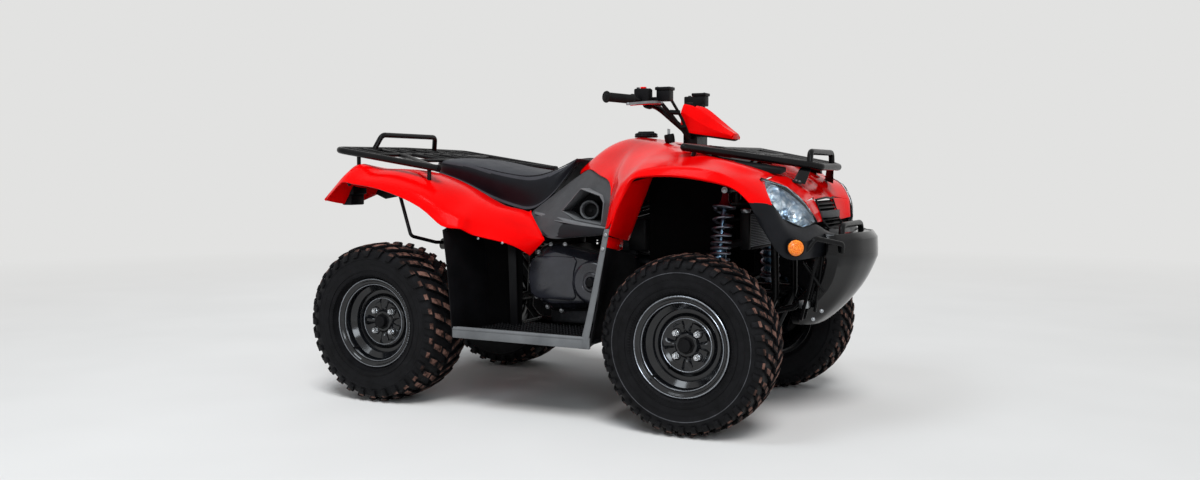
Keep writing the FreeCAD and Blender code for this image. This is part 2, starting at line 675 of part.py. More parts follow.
def make_front_body():
    top = sheet(front_rows, panel)
    leg = sheet([[(262, -470, 900), (262, -440, 800), (262, -420, 700)],
                 [(250, -560, 860), (250, -570, 790), (250, -566, 702)],
                 [(300, -578, 850), (292, -578, 790), (280, -576, 700)]], panel)
    wall = sheet([[(282, -574, 700), (292, -460, 672), (300, -350, 648)],
                  [(298, -575, 792), (312, -460, 790), (322, -350, 790)],
                  [(334, -572, 853), (338, -540, 886), (340, -350, 950)]], panel)
    both = fuse([top, leg, wall])
    whole = fuse([both, mirrored(both)])
    low, high = vec(column_point(0.6)), vec(column_point(1))
    column = Part.makeCylinder(column_hole, (high - low).Length + 60, low, high - low)
    return save("front_body", whole.cut(column))


def make_fuel_cap():
    save("fuel_cap", rod((156, 0, 1024 + seat_gap), (156, 0, 1052), 42))


nose_rows = [
    [(770.4, 0, 868), (771.4, -110, 871), (772.4, -260, 876), (780, -410, 864)],
    [(816, 0, 835), (816, -110, 838), (825, -240, 846), (836, -362, 842)],
    [(866, 0, 797), (858, -112, 795), (868, -220, 792), (884, -306, 786)]]
nose_cheek_rows = [
    [(858, -112, 795), (868, -220, 792), (884, -304, 786)],
    [(880, -105, 750), (886, -200, 750), (899, -276, 748)],
    [(890, -105, 716), (897, -190, 716), (908, -254, 722)]]


def make_nose():
    side = fuse([sheet(nose_rows, panel), sheet(nose_cheek_rows, panel)])
    return save("nose_panel", largest(fuse([side, mirrored(side)]).cut(front_body)))


def make_headlights():
    front = [(773, -434, 864), (838, -372, 840), (884, -318, 780), (905, -272, 720),
             (879, -342, 704), (846, -424, 734), (804, -464, 802)]
    back = [(x - 60, y + 30, z) for x, y, z in front]
    body = skin([front, back])
    for neighbour in (front_body, nose_panel, front_fascia):
        body = largest(body.cut(neighbour))
    save("headlights", pair(body))


def make_fascia():
    """The black lower nose, and the slatted grille behind its upper edge."""
    rows = [[(777, -567, 790), (784, -540, 756), (780, -503, 735)],
            [(834, -502, 782), (828, -486, 722), (821, -464, 652)],
            [(848, -428, 735), (872, -430, 672), (860, -424, 602)],
            [(882, -345, 703), (916, -348, 660), (905, -334, 600)],
            [(906, -270, 714), (930, -224, 668), (918, -220, 600)],
            [(918, -150, 684), (940, -122, 668), (925, -120, 600)],
            [(920, 0, 682), (944, 0, 670), (930, 0, 600)]]
    side = sheet(rows, panel)
    cover = largest(fuse([side, mirrored(side)]).cut(front_body).cut(nose_panel))
    back = block((852, -108, 680), (862, 108, 786))
    slats = [block((858 + i * 6, -112, 768 - i * 18), (872 + i * 6, 112, 775 - i * 18)) for i in range(5)]
    grille = largest(fuse([back] + slats).cut(nose_panel).cut(cover))
    return save("front_fascia", Part.makeCompound([cover, grille]))


guard_tube = 11.0
guard_x = 966.0


def make_bumper():
    outer = [(990, -236, 664), (1018, -230, 640), (1030, -216, 590), (1000, -190, 500), (900, -160, 392), (846, -140, 352)]
    centre = [(1000, 0, 672), (1052, 0, 655), (1055, 0, 592), (1016, 0, 500), (910, 0, 380), (850, 0, 340)]
    side = sheet([list(reversed(outer)), list(reversed(centre))], panel * 2)
    lug = block((guard_x + guard_tube + seat_gap, -158, 640), (1016, -142, 652))
    save("bumper", fuse([side, mirrored(side), lug, mirrored(lug)]))


def make_bumper_guard():
    rail_face = -lower_rail_y - rail_radius - seat_gap - guard_tube
    hoop = tube([(694, rail_face, 383), (800, rail_face, 410), (946, -134, 575), (guard_x, -150, 640),
                 (guard_x, -130, 704), (guard_x, 0, 704)], guard_tube, 30)
    save("bumper_guard", fuse([hoop, mirrored(hoop)]))


def outermost(shape, axis):
    return max(shape.Solids, key=lambda solid: getattr(solid.BoundBox, axis))


def make_indicators():
    body = rod((830, -424, 641), (898, -434, 641), 31)
    save("front_indicators", pair(outermost(body.cut(front_fascia), "XMax")))


def stay_over(panel_below, x, y, z):
    """An upright stay whose foot follows the panel it stands on."""
    stay = rod((x, y, z), (x, y, span_z(panel_below, x, y)[1] - rack_bar), rack_bar)
    return max(stay.cut(panel_below).Solids, key=lambda solid: solid.BoundBox.ZMax)


def make_front_rack():
    corners = [(486, -420, 975), (860, -150, 914), (884, -120, 908), (884, 0, 908)]
    side = tube([(486, 0, 972), (486, -400, 976)] + corners, rack_tube, 30)
    hoop = tube([(870, -130, 908), (872, -120, 966), (872, 0, 966)], rack_tube - 2, 20)
    bars = [rod((490, -y, 972), (880, -y * 0.36, 908), rack_bar) for y in (0, 110, 220, 320)]
    stays = [stay_over(base, x, y, z) for base, x, y, z in (
        (nose_panel, 830, -141, 916), (front_body, 560, -370, 962), (front_body, 700, -206, 938))]
    parts = [side] + bars + stays
    rack = fuse(parts + [mirrored(p) for p in parts])
    hoop = largest(fuse([hoop, mirrored(hoop)]).cut(rack))
    save("front_rack", Part.makeCompound([rack, hoop]))


def make_rear_rack():
    corner_y = rack_half_width
    rail = [(-512, -corner_y, 905), (-1001, -corner_y, 980), (-1001, 0, 985)]
    side = tube(rail, rack_tube, 50)
    diagonal = tube([(-512, -corner_y, 905), (-800, -250, 950), (-1001, -170, 982)], rack_tube - 3, 50)
    hoop = tube([(-1001, -215, 984), (-978, -190, 1046), (-978, 0, 1046)], rack_tube - 2, 30)
    across = rod((-860, -corner_y, 958), (-860, 0, 962), rack_bar)
    bars = [rod((-860, -y, 960), (-1001, -y, 984), rack_bar) for y in (60, 300, 380)]
    stays = []
    for x, y, z in ((-560, -440, 912), (-900, -440, 964)):
        stays.append(stay_over(rear_fender, x, y, z))
        stays.append(rod((x, y, z), (x, -corner_y, z), rack_bar))
    parts = [side, diagonal, hoop, across] + bars + stays
    save("rear_rack", fuse(parts + [mirrored(p) for p in parts]))


def make_footwells():
    outer = -board_half_width
    board = block((board_rear_x, outer + 6, board_top_z - board_thickness), (board_front_x, -board_inner_y, board_top_z))
    edge = block((board_rear_x - 4, outer, board_top_z - 22), (board_front_x, outer + 12, board_top_z + 14))
    front = sheet([[(204, outer, 284), (211, outer, 330), (231, outer, 420), (296, outer, 696)],
                   [(178, -440, 284), (180, -440, 330), (196, -440, 420), (298, -440, 696)],
                   [(218, -230, 284), (220, -230, 330), (238, -240, 420), (300, -330, 690)]], panel)
    rear = sheet([[(-356, -215, 284), (-360, -215, 500), (-372, -240, 712)],
                  [(-364, -400, 284), (-370, -400, 500), (-386, -400, 726)],
                  [(-364, -570, 284), (-372, -566, 500), (-396, -548, 668)]], panel)
    inner = sheet([[(-366, -330, 298), (-368, -330, 500), (-376, -345, 730)],
                   [(-300, -300, 298), (-300, -305, 500), (-305, -330, 752)],
                   [(-232, -300, 298), (-226, -300, 500), (-214, -330, 735)]], panel)
    strip = sheet([[(196, outer - 1, 284), (204, outer - 1, 330), (224, outer - 1, 420), (280, outer - 1, 692)],
                   [(170, outer - 1, 284), (178, outer - 1, 330), (202, outer - 1, 420), (262, outer - 1, 692)]], 14)
    shape = fuse([board, edge, front, rear, inner, strip]).cut(front_body).cut(rear_fender)
    save("footwell_right", largest(shape))
    save("footwell_left", mirrored(largest(shape)))


def make_side_panels():
    rows = [[(-236, -206, 738), (-232, -222, 730), (-226, -240, 722), (-218, -256, 716)],
            [(-110, -188, 830), (-110, -240, 790), (-104, -310, 720), (-98, -352, 648)],
            [(10, -193, 897), (-6, -260, 810), (0, -330, 730), (10, -370, 650)],
            [(104, -301, 863), (110, -340, 800), (120, -370, 740), (140, -396, 668)],
            [(200, -405, 825), (206, -424, 780), (214, -432, 740), (224, -436, 690)]]
    side = sheet(rows, panel)
    save("side_panels", pair(largest(side.cut(front_body).cut(rear_fender))))


def make_tail_lights():
    lamp = block((-1002, -430, 800), (-930, -340, 850)).cut(rear_fender)
    save("tail_lights", pair(min(lamp.Solids, key=lambda solid: solid.BoundBox.XMin)))


seat = make_seat()
rear_fender = make_rear_fender()
front_body = make_front_body()
nose_panel = make_nose()
front_fascia = make_fascia()
make_wheels()
make_knuckle()
make_tie_rods()
make_front_arms()
make_front_shocks()
make_front_drive()
make_handlebar()
make_grips()
make_controls()
make_pod()
make_frame()
make_inner_liners()
make_engine()
make_belt_cover()
make_exhaust()
make_radiator()
make_skid()
make_rear_axle()
make_swing_arm()
make_rear_shock()
make_fuel_cap()
make_headlights()
make_bumper()
make_bumper_guard()
make_indicators()
make_front_rack()
make_rear_rack()
make_footwells()
make_side_panels()
make_tail_lights()
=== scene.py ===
import math

import bpy
from mathutils import Matrix, Vector


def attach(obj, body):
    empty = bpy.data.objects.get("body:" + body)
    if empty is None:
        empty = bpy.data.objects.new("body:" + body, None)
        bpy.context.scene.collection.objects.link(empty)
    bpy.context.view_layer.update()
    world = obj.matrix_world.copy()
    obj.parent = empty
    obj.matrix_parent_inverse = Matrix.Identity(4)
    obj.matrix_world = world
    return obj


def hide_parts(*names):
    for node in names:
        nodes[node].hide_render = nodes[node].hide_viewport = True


# Looks of a red utility quad bike. Tables are in millimetres, Blender works in metres.

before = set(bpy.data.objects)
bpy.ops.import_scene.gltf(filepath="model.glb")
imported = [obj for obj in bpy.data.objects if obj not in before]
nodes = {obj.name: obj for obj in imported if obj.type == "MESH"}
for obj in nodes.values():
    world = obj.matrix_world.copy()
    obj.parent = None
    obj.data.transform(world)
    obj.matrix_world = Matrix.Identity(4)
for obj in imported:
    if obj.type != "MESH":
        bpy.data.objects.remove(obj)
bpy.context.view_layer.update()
MM = 0.001

# Driving sizes, the same as the frame's
front_axle_x = 543
rear_axle_x = -747
axle_height = 308
front_track = 962
rear_track = 911
front_tyre_half = 101
rear_tyre_half = 121
front_rim_half = 90
rear_rim_half = 94
rim_lip = 171
rim_wall = 6
column_foot = (515, 0, 380)
column_top = (352, 0, 1008)
column_line = tuple(b - a for a, b in zip(column_foot, column_top))


def column_at(share):
    """A place on the steering column, by its share of the way up."""
    return tuple(a + d * share for a, d in zip(column_foot, column_line))


# Sizes and directions of the scene alone
lug_height = 13
stud_circle = 110
wheel_steps = 96
lug_top_facing = 0.72
seat_top_facing = 0.34
backdrop_colour = "E2E2E1"
hub = (0, 0, 0)
axle_line = (0, 1, 0)
outboard = (0, -1, 0)


# Materials

def linear(code):
    """Blender's linear colour for an sRGB hex value."""
    parts = [int(code[i:i + 2], 16) / 255 for i in (0, 2, 4)]
    return [c / 12.92 if c <= 0.04045 else ((c + 0.055) / 1.055) ** 2.4 for c in parts] + [1]


def add_node(tree, kind, settings=None, links=None):
    """Adds a shader node, sets its properties or sockets, and links its inputs."""
    made = tree.nodes.new("ShaderNode" + kind)
    for key, value in (settings or {}).items():
        if isinstance(key, str) and hasattr(made, key):
            setattr(made, key, value)
        else:
            made.inputs[key].default_value = value
    for key, source in (links or {}).items():
        tree.links.new(source, made.inputs[key])
    return made


def ramp(tree, source, stops):
    """A colour ramp on a value, from stops of (place, hex colour or grey level)."""
    made = add_node(tree, "ValToRGB", links={"Fac": source})
    band = made.color_ramp
    for place, shade in stops[2:]:
        band.elements.new(place)
    for element, (place, shade) in zip(band.elements, sorted(stops)):
        element.position = place
        element.color = linear(shade) if isinstance(shade, str) else [shade, shade, shade, 1]
    return made.outputs["Color"]


def surface(name, shader):
    """A material with one Principled shader, and its tree, object coordinates and output shader."""
    made = bpy.data.materials.new(name)
    made.use_nodes = True
    tree = made.node_tree
    skin = tree.nodes["Principled BSDF"]
    for key, value in shader.items():
        skin.inputs[key].default_value = value
    place = add_node(tree, "TexCoord").outputs["Object"]
    return made, tree, skin, place


def noise(tree, place, size_mm, detail=3, roughness=0.6):
    made = add_node(tree, "TexNoise", {"Scale": 1000 / size_mm, "Detail": detail, "Roughness": roughness},
                    {"Vector": place})
    return made.outputs["Fac"]


def cells(tree, place, size_mm):
    made = add_node(tree, "TexVoronoi", {"Scale": 1000 / size_mm}, {"Vector": place})
    return made.outputs["Distance"]


def drive(tree, skin, socket, value, stops):
    """Lets a value set one socket of the shader, through a colour ramp."""
    tree.links.new(ramp(tree, value, stops), skin.inputs[socket])


def bump(tree, skin, height, distance_mm, strength):
    made = add_node(tree, "Bump", {"Strength": strength, "Distance": distance_mm * MM}, {"Height": height})
    tree.links.new(made.outputs["Normal"], skin.inputs["Normal"])


def coating(name, shader, colour, polish, relief):
    """A material whose colour, roughness and relief follow noise on object coordinates.

    Colour and polish are the noise's size in mm, its detail and any roughness, with the ramp's stops.
    Relief is the size in mm, the detail (0 for round cells), the depth in mm and the strength.
    """
    made, tree, skin, place = surface(name, shader)
    for socket, (grain, stops) in (("Base Color", colour), ("Roughness", polish)):
        drive(tree, skin, socket, noise(tree, place, *grain), stops)
    size_mm, detail, depth, strength = relief
    height = noise(tree, place, size_mm, detail) if detail else cells(tree, place, size_mm)
    bump(tree, skin, height, depth, strength)
    return made


def grained(name, low, high, roughness, grain_mm=1.6, depth=0.14, shine=0.12):
    # Polypropylene moulded against an etched tool: an even fine grain that greys the highlights
    return coating(name, {"IOR": 1.49, "Specular IOR Level": shine}, ((90, 4), [(0.3, low), (0.75, high)]),
                   ((12, 3), [(0.3, roughness), (0.8, roughness + 0.14)]), (grain_mm, 0, depth, 0.5))


def gloss_black_plastic(name, polish):
    # Ungrained black moulding: polished by the tool, with a faint ripple from the mould
    return coating(name, {"IOR": 1.5, "Specular IOR Level": 0.28},
                   ((90, 4), [(0.3, "040405"), (0.8, "09090B")]),
                   ((30, 4), [(0.35, polish), (0.8, polish + 0.12)]), (24, 2, 0.12, 0.4))


def bright_metal(name, low, high, roughness, size_mm=14, depth=0.05):
    # Bare or plated metal: fine mottle in the colour and in the polish
    return coating(name, {"Metallic": 1.0}, ((size_mm * 3, 4), [(0.3, low), (0.75, high)]),
                   ((size_mm, 4), [(0.3, roughness), (0.8, roughness + 0.16)]), (size_mm / 4, 3, depth, 0.5))


def tyre_rubber(name, stops, roughness=0.42):
    # Cured tyre rubber: a dull charcoal black with a fine pitted skin
    return coating(name, {"IOR": 1.52, "Specular IOR Level": 0.08}, ((46, 7, 0.72), stops),
                   ((26, 5), [(0.3, roughness), (0.8, roughness + 0.3)]), (3, 5, 0.3, 0.5))


def seat_vinyl(name, low, high, roughness, shine=0.1):
    # Expanded vinyl cover: pebble grain of about 2 mm, worn smoother in broad patches
    return coating(name, {"IOR": 1.5, "Specular IOR Level": shine}, ((120, 4), [(0.3, low), (0.75, high)]),
                   ((45, 4), [(0.3, roughness), (0.8, roughness + 0.15)]), (2.4, 0, 0.2, 0.55))


def lamp_reflector():
    # Vacuum-aluminised bowl moulded in facets of about 18 mm; each facet's colour is painted between white
    # and a pale blue as painted reflections of the sky
    made, tree, skin, place = surface("aluminised reflector with painted sky reflections", {"Metallic": 0.6, "Roughness": 0.14})
    facets = cells(tree, place, 18)
    # Painted reflections: each facet's colour runs from white to pale blue
    drive(tree, skin, "Base Color", facets, [(0.1, "FFFFFF"), (0.7, "A9BACA")])
    bump(tree, skin, facets, 1.5, 0.6)
    return made


def clear_lens(name, tint, roughness=0.03):
    # Injection-moulded polycarbonate: clear, hard-coated, thin
    made, tree, skin, place = surface(name, {"IOR": 1.2, "Transmission Weight": 1.0,
                                             "Base Color": linear(tint)})
    drive(tree, skin, "Roughness", noise(tree, place, 40, 3), [(0.3, roughness), (0.8, roughness + 0.03)])
    bump(tree, skin, noise(tree, place, 18, 2), 0.05, 0.3)
    return made


def coloured_lens(name, low, high):
    # Coloured acrylic over a pattern of 4 mm prisms, glossy outside
    made, tree, skin, place = surface(name, {"IOR": 1.49, "Coat Weight": 0.6, "Coat Roughness": 0.05,
                                             "Roughness": 0.25})
    prisms = cells(tree, place, 4)
    drive(tree, skin, "Base Color", prisms, [(0.1, high), (0.6, low)])
    bump(tree, skin, prisms, 0.8, 0.7)
    return made


# Injection-moulded ABS in solid red: smooth, with a faint ripple of the mould. Its shine is held low, so that
# the pale backdrop doesn't wash the colour out.
RED = coating("gloss red moulded ABS", {"IOR": 1.46, "Specular IOR Level": 0.06},
              ((140, 4), [(0.3, "D20203"), (0.7, "E40405")]), ((35, 5), [(0.35, 0.13), (0.75, 0.22)]),
              (26, 2, 0.1, 0.35))
BLACK_PP = grained("black grained polypropylene", "070708", "101012", 0.4)
GREY_PP = grained("dark grey grained polypropylene", "393A3C", "47484A", 0.42)
PALE_PP = grained("mid grey moulded polypropylene", "5A5C5E", "6C6E70", 0.36)
EDGE_PP = grained("charcoal moulded polypropylene", "121316", "1A1B1F", 0.3)
LINER = grained("unpolished black liner polypropylene", "030303", "060607", 0.7, shine=0.04)
# Black powder coat on steel tube: satin and slightly pebbled
STEEL = coating("black powder-coated steel", {"IOR": 1.5, "Specular IOR Level": 0.16},
                ((60, 5), [(0.3, "060607"), (0.8, "0F0F10")]), ((20, 3), [(0.3, 0.24), (0.8, 0.38)]),
                (2.2, 2, 0.08, 0.4))
# Stove-enamelled pressed steel wheel: near-black and wet-looking, with a trace of orange peel
ENAMEL = coating("black enamelled steel", {"IOR": 1.5, "Specular IOR Level": 0.5},
                 ((70, 4), [(0.3, "050608"), (0.8, "0B0D11")]), ((30, 4), [(0.35, 0.1), (0.8, 0.2)]),
                 (9, 2, 0.06, 0.4))
CHROME = bright_metal("chromed steel", "C9CCD0", "DADDE0", 0.08)
ZINC = bright_metal("zinc-plated steel", "8E9195", "B4B6B8", 0.26)
ALLOY = bright_metal("cast aluminium", "7E8083", "9A9C9E", 0.34, 8, 0.2)
DARK_ALLOY = bright_metal("dark cast engine alloy", "26272A", "3A3B3E", 0.38, 7, 0.25)
FIN_STOCK = bright_metal("dark radiator fin stock", "6A6E74", "8A8E94", 0.35, 6)
EXHAUST = bright_metal("heat-dulled exhaust steel", "343436", "55534F", 0.4, 20, 0.1)
REFLECTOR = lamp_reflector()
RUBBER = tyre_rubber("cured tyre rubber", [(0.3, "0C0C0D"), (0.7, "171719")])
# A lighter grey rubber for the sidewall rib: a painted highlight line, where the real rib is black
PAINTED_HIGHLIGHT_RUBBER = tyre_rubber("rubber rib lightened as painted highlight", [(0.3, "2E2F31"), (0.7, "55565A")], 0.3)
SOILED = tyre_rubber("tyre rubber with dried red soil",
                     [(0.38, "0D0C0C"), (0.46, "2E211D"), (0.56, "6A4E45"), (0.7, "86685D")], 0.6)
VINYL_TOP = seat_vinyl("matt black seat vinyl", "343539", "3F4044", 0.5)
VINYL_SIDE = seat_vinyl("smooth black seat vinyl", "0C0D11", "14161B", 0.28, 0.18)
LENS = clear_lens("clear polycarbonate", "F4F8FA")
SMOKE = clear_lens("smoked polycarbonate", "4A4D52", 0.06)
AMBER = coloured_lens("amber acrylic", "E06A06", "FFA21C")
RUBY = coloured_lens("red acrylic", "7A0508", "C0100F")
GRIP = grained("moulded grip rubber", "0E0E0E", "191919", 0.6, 2.4, 0.3)
SPRING = bright_metal("grey painted spring steel", "6E727C", "8A8E98", 0.3, 12)
# Light grey metal for the rims' rolled edges: a painted highlight, standing in for the shine of the black
# enamel there
PAINTED_HIGHLIGHT_GREY = bright_metal("grey metal as painted highlight on rolled edges", "80848A", "A8ACB2", 0.22, 20)
MAROON = grained("maroon moulded cap", "480A12", "601019", 0.3)
GLOSS_BLACK = gloss_black_plastic("gloss black moulded ABS", 0.1)
# The cover is painted black; its base colour is lifted to a dark grey as painted sheen, so that the shaded
# cover shows its shape
COVER_WITH_PAINTED_SHEEN = grained("black painted cast cover lifted to grey as painted sheen", "1A1B20", "2A2B32", 0.14, shine=0.6)
SMOKE_BLACK = gloss_black_plastic("smoked black acrylic", 0.05)
DAMPER = bright_metal("blue-grey anodised damper tube", "4E6C86", "7F9AAE", 0.22, 16)


# Shaping

def mm(point):
    return Vector(point) * MM


def deselect():
    bpy.ops.object.select_all(action="DESELECT")


def activate(piece):
    deselect()
    piece.select_set(True)
    bpy.context.view_layer.objects.active = piece


def settle(piece):
    """Moves a piece's place into its mesh, so that its object sits at the origin."""
    activate(piece)
    bpy.ops.object.transform_apply(location=True, rotation=True, scale=True)
    return piece


def modify(piece, kind, **settings):
    activate(piece)
    modifier = piece.modifiers.new(kind, kind)
    for key, value in settings.items():
        setattr(modifier, key, value)
    bpy.ops.object.modifier_apply(modifier=modifier.name)
    return piece


def rounded(piece, width, segments=2, angle=30):
    return modify(piece, "BEVEL", width=width * MM, segments=segments, limit_method="ANGLE",
                  angle_limit=math.radians(angle))


def paint(piece, look):
    piece.data.materials.clear()
    piece.data.materials.append(look)
    return piece


def block(low, high, edge=1.0, look=None):
    deselect()
    low, high = mm(low), mm(high)
    bpy.ops.mesh.primitive_cube_add(size=1, location=(low + high) / 2)
    piece = bpy.context.object
    piece.scale = high - low
    settle(piece)
    if edge:
        rounded(piece, edge)
    return paint(piece, look) if look else piece


def rod(start, end, radius, far_radius=None, sides=24, edge=0.8, look=None):
    """A round bar or cone between two points; with six sides it is a hexagon bar."""
    deselect()
    a, b = mm(start), mm(end)
    far = radius if far_radius is None else far_radius
    bpy.ops.mesh.primitive_cone_add(vertices=sides, radius1=radius * MM, radius2=far * MM,
                                    depth=(b - a).length, location=(a + b) / 2,
                                    rotation=(b - a).to_track_quat("Z", "Y").to_euler())
    piece = settle(bpy.context.object)
    if edge:
        rounded(piece, edge, 2, 50)
    return paint(piece, look) if look else piece


def turned(profile, centre, axis, steps=64, edge=0.0, look=None):
    """A closed profile of (along, out) points spun round an axis through the centre."""
    deselect()
    bpy.ops.mesh.primitive_circle_add(vertices=len(profile))
    piece = bpy.context.object
    along = Vector(axis).normalized()
    out = along.orthogonal().normalized()
    for vertex, (a, r) in zip(piece.data.vertices, profile):
        vertex.co = mm(centre) + along * a * MM + out * r * MM
    bpy.ops.object.mode_set(mode="EDIT")
    bpy.ops.mesh.select_all(action="SELECT")
    bpy.ops.mesh.spin(steps=steps, angle=2 * math.pi, center=mm(centre), axis=along)
    bpy.ops.mesh.select_all(action="SELECT")
    bpy.ops.mesh.remove_doubles(threshold=0.00002)
    bpy.ops.mesh.normals_make_consistent(inside=False)
    bpy.ops.object.mode_set(mode="OBJECT")
    if edge:
        rounded(piece, edge, 2, 25)
    return paint(piece, look) if look else piece


def corner_arcs(points, bend):
    """The points of straight runs joined by arcs, in metres."""
    arc_steps, most_of_run = 8, 0.48
    route = [mm(p) for p in points]
    places = [route[0]]
    for before, corner, after in zip(route, route[1:], route[2:]):
        back, ahead = before - corner, after - corner
        turn = math.pi - back.angle(ahead)
        if turn < 0.02:
            continue
        cut = min(bend * MM * math.tan(turn / 2), most_of_run * back.length, most_of_run * ahead.length)
        start, end = corner + back.normalized() * cut, corner + ahead.normalized() * cut
        for step in range(arc_steps + 1):
            t = step / arc_steps
            places.append(start * (1 - t) ** 2 + corner * 2 * t * (1 - t) + end * t * t)
    return places + [route[-1]]


def tube(points, radius, bend=30, smooth=False, sides=6, look=None):
    """A round tube along runs and arcs, or along one smooth line through guide points."""
    deselect()
    bpy.ops.curve.primitive_bezier_curve_add()
    piece = bpy.context.object
    curve = piece.data
    curve.splines.clear()
    line = curve.splines.new("NURBS" if smooth else "POLY")
    places = [mm(p) for p in points] if smooth else corner_arcs(points, bend)
    line.points.add(len(places) - 1)
    for point, place in zip(line.points, places):
        point.co = (*place, 1)
    line.order_u = 4 if smooth else 2
    line.use_endpoint_u = True
    line.resolution_u = 10
    curve.bevel_depth = radius * MM
    curve.bevel_resolution = sides
    curve.use_fill_caps = True
    piece.location = (0, 0, 0)
    bpy.ops.object.convert(target="MESH")
    return paint(bpy.context.object, look) if look else bpy.context.object


def both_sides(rows):
    """Rows of points that start on the middle plane, carried on to the other side."""
    return [[(x, -y, z) for x, y, z in reversed(row[1:])] + list(row) for row in rows]


def past_middle(rows):
    """Rows that end with the one on the middle plane, carried on to the other side."""
    return rows + [[(x, -y, z) for x, y, z in row] for row in reversed(rows[:-1])]


def fold(table, line, place):
    """How sharp one edge of a line is: one value for the whole line, or a list of (value, first, last)."""
    entry = (table or {}).get(line, 0)
    if not isinstance(entry, list):
        return entry
    return max([value for value, first, last in entry if first <= place < last], default=0)


def patch(rows, thickness, levels=2, sharp_rows=None, sharp_columns=None, edge=1.0, fits=2, look=None,
          outward=0):
    """A smooth shell through rows of points for its outer face, with its thickness behind them.

    The sharp rows and columns are given with how sharp their fold is, from 0 to 1, as fold reads them.
    """
    deselect()
    n, m = len(rows), len(rows[0])
    bpy.ops.mesh.primitive_grid_add(x_subdivisions=m - 1, y_subdivisions=n - 1, size=1)
    piece = bpy.context.object
    goal = [mm(p) for row in rows for p in row]
    for vertex, place in zip(piece.data.vertices, goal):
        vertex.co = place
    crease = piece.data.attributes.new("crease_edge", "FLOAT", "EDGE")
    for line in piece.data.edges:
        a, b = sorted(line.vertices)
        if a // m == b // m:
            crease.data[line.index].value = fold(sharp_rows, a // m, a % m)
        else:
            crease.data[line.index].value = fold(sharp_columns, a % m, a // m)
    if levels:
        subdivide = piece.modifiers.new("smooth", "SUBSURF")
        subdivide.levels = subdivide.render_levels = levels
        subdivide.boundary_smooth = "PRESERVE_CORNERS"
        for _ in range(fits):
            seen = piece.evaluated_get(bpy.context.evaluated_depsgraph_get()).data
            for vertex, place in zip(piece.data.vertices, goal):
                vertex.co += place - seen.vertices[vertex.index].co
            piece.data.update()
        activate(piece)
        bpy.ops.object.modifier_apply(modifier="smooth")
    if thickness:
        modify(piece, "SOLIDIFY", thickness=thickness * MM, offset=1 if outward else -1, use_even_offset=True)
    if edge:
        rounded(piece, edge, 2, 55)
    return paint(piece, look) if look else piece


def slab(points, push, edge=1.0, look=None, angle=30):
    """A flat plate from its outline in space, pushed along a step."""
    deselect()
    bpy.ops.mesh.primitive_circle_add(vertices=len(points), fill_type="NGON")
    piece = bpy.context.object
    for vertex, place in zip(piece.data.vertices, points):
        vertex.co = mm(place)
    bpy.ops.object.mode_set(mode="EDIT")
    bpy.ops.mesh.select_all(action="SELECT")
    bpy.ops.mesh.extrude_region_move(TRANSFORM_OT_translate={"value": mm(push)})
    bpy.ops.mesh.select_all(action="SELECT")
    bpy.ops.mesh.normals_make_consistent(inside=False)
    bpy.ops.object.mode_set(mode="OBJECT")
    if edge:
        rounded(piece, edge, 2, angle)
    return paint(piece, look) if look else piece


def plate(outline, axis, low, high, edge=1.0, look=None):
    """A flat plate from an outline in the two other axes, between two places on its axis."""
    spread = {"x": lambda p, h: (h, *p), "y": lambda p, h: (p[0], h, p[1]), "z": lambda p, h: (*p, h)}[axis]
    return slab([spread(p, low) for p in outline], spread((0, 0), high - low), edge, look)


def cut(piece, cutter):
    modify(piece, "BOOLEAN", object=cutter, operation="DIFFERENCE", solver="EXACT")
    bpy.data.objects.remove(cutter)
    return piece


def copied(piece, matrix=None):
    made = piece.copy()
    made.data = piece.data.copy()
    bpy.context.scene.collection.objects.link(made)
    if matrix is not None:
        made.data.transform(matrix)
    return made


def mirrored(piece):
    made = copied(piece, Matrix.Scale(-1, 4, (0, 1, 0)))
    made.data.flip_normals()
    return made


def with_mirror(pieces):
    return pieces + [mirrored(p) for p in pieces]


def join(pieces):
    deselect()
    for piece in pieces:
        piece.select_set(True)
    bpy.context.view_layer.objects.active = pieces[0]
    if len(pieces) > 1:
        bpy.ops.object.join()
    return pieces[0]


def pair(pieces):
    """The pieces of one side and their mirror image, as one piece."""
    return join(with_mirror([join(pieces)]))


def around(piece, count, centre, axis):
    """Copies of a piece spread evenly round an axis, joined."""
    middle = Matrix.Translation(mm(centre))
    turned_copies = []
    for i in range(count):
        turn = middle @ Matrix.Rotation(2 * math.pi * i / count, 4, axis) @ middle.inverted()
        turned_copies.append(copied(piece, turn))
    bpy.data.objects.remove(piece)
    return join(turned_copies)


def finish(piece, name, body="chassis", replaced=(), smooth=35):
    """Names a finished piece, shades it, and lets it ride on its body."""
    piece.name = name
    activate(piece)
    bpy.ops.object.shade_smooth_by_angle(angle=math.radians(smooth))
    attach(piece, body)
    if replaced:
        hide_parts(*replaced)
    return piece


def show(piece, node, body="chassis", smooth=35):
    """Finishes a piece that takes the place of one node of the frame."""
    return finish(piece, "shown_" + node, body, (node,), smooth)


def bolts(places, axis, size):
    """Hexagon heads with washers at places in millimetres, all facing one way."""
    way = Vector(axis).normalized()
    heads = []
    for place in places:
        foot = Vector(place)
        heads.append(rod(foot, foot + way * size * 0.25, size * 1.35, sides=16, edge=0))
        heads.append(rod(foot, foot + way * size * 0.95, size, sides=6, edge=size * 0.12))
    return paint(join(heads), ZINC)


def screws(places, axis, size):
    """Domed screw heads with a small recess."""
    way = Vector(axis).normalized()
    heads = []
    for place in places:
        foot = Vector(place)
        profile = [(0, 0.01), (0, size), (size * 0.28, size * 0.94), (size * 0.5, size * 0.6),
                   (size * 0.55, size * 0.3), (size * 0.3, size * 0.26), (size * 0.3, 0.01)]
        heads.append(turned(profile, foot, way, 16))
    return paint(join(heads), ZINC)


# Camera, light and floor

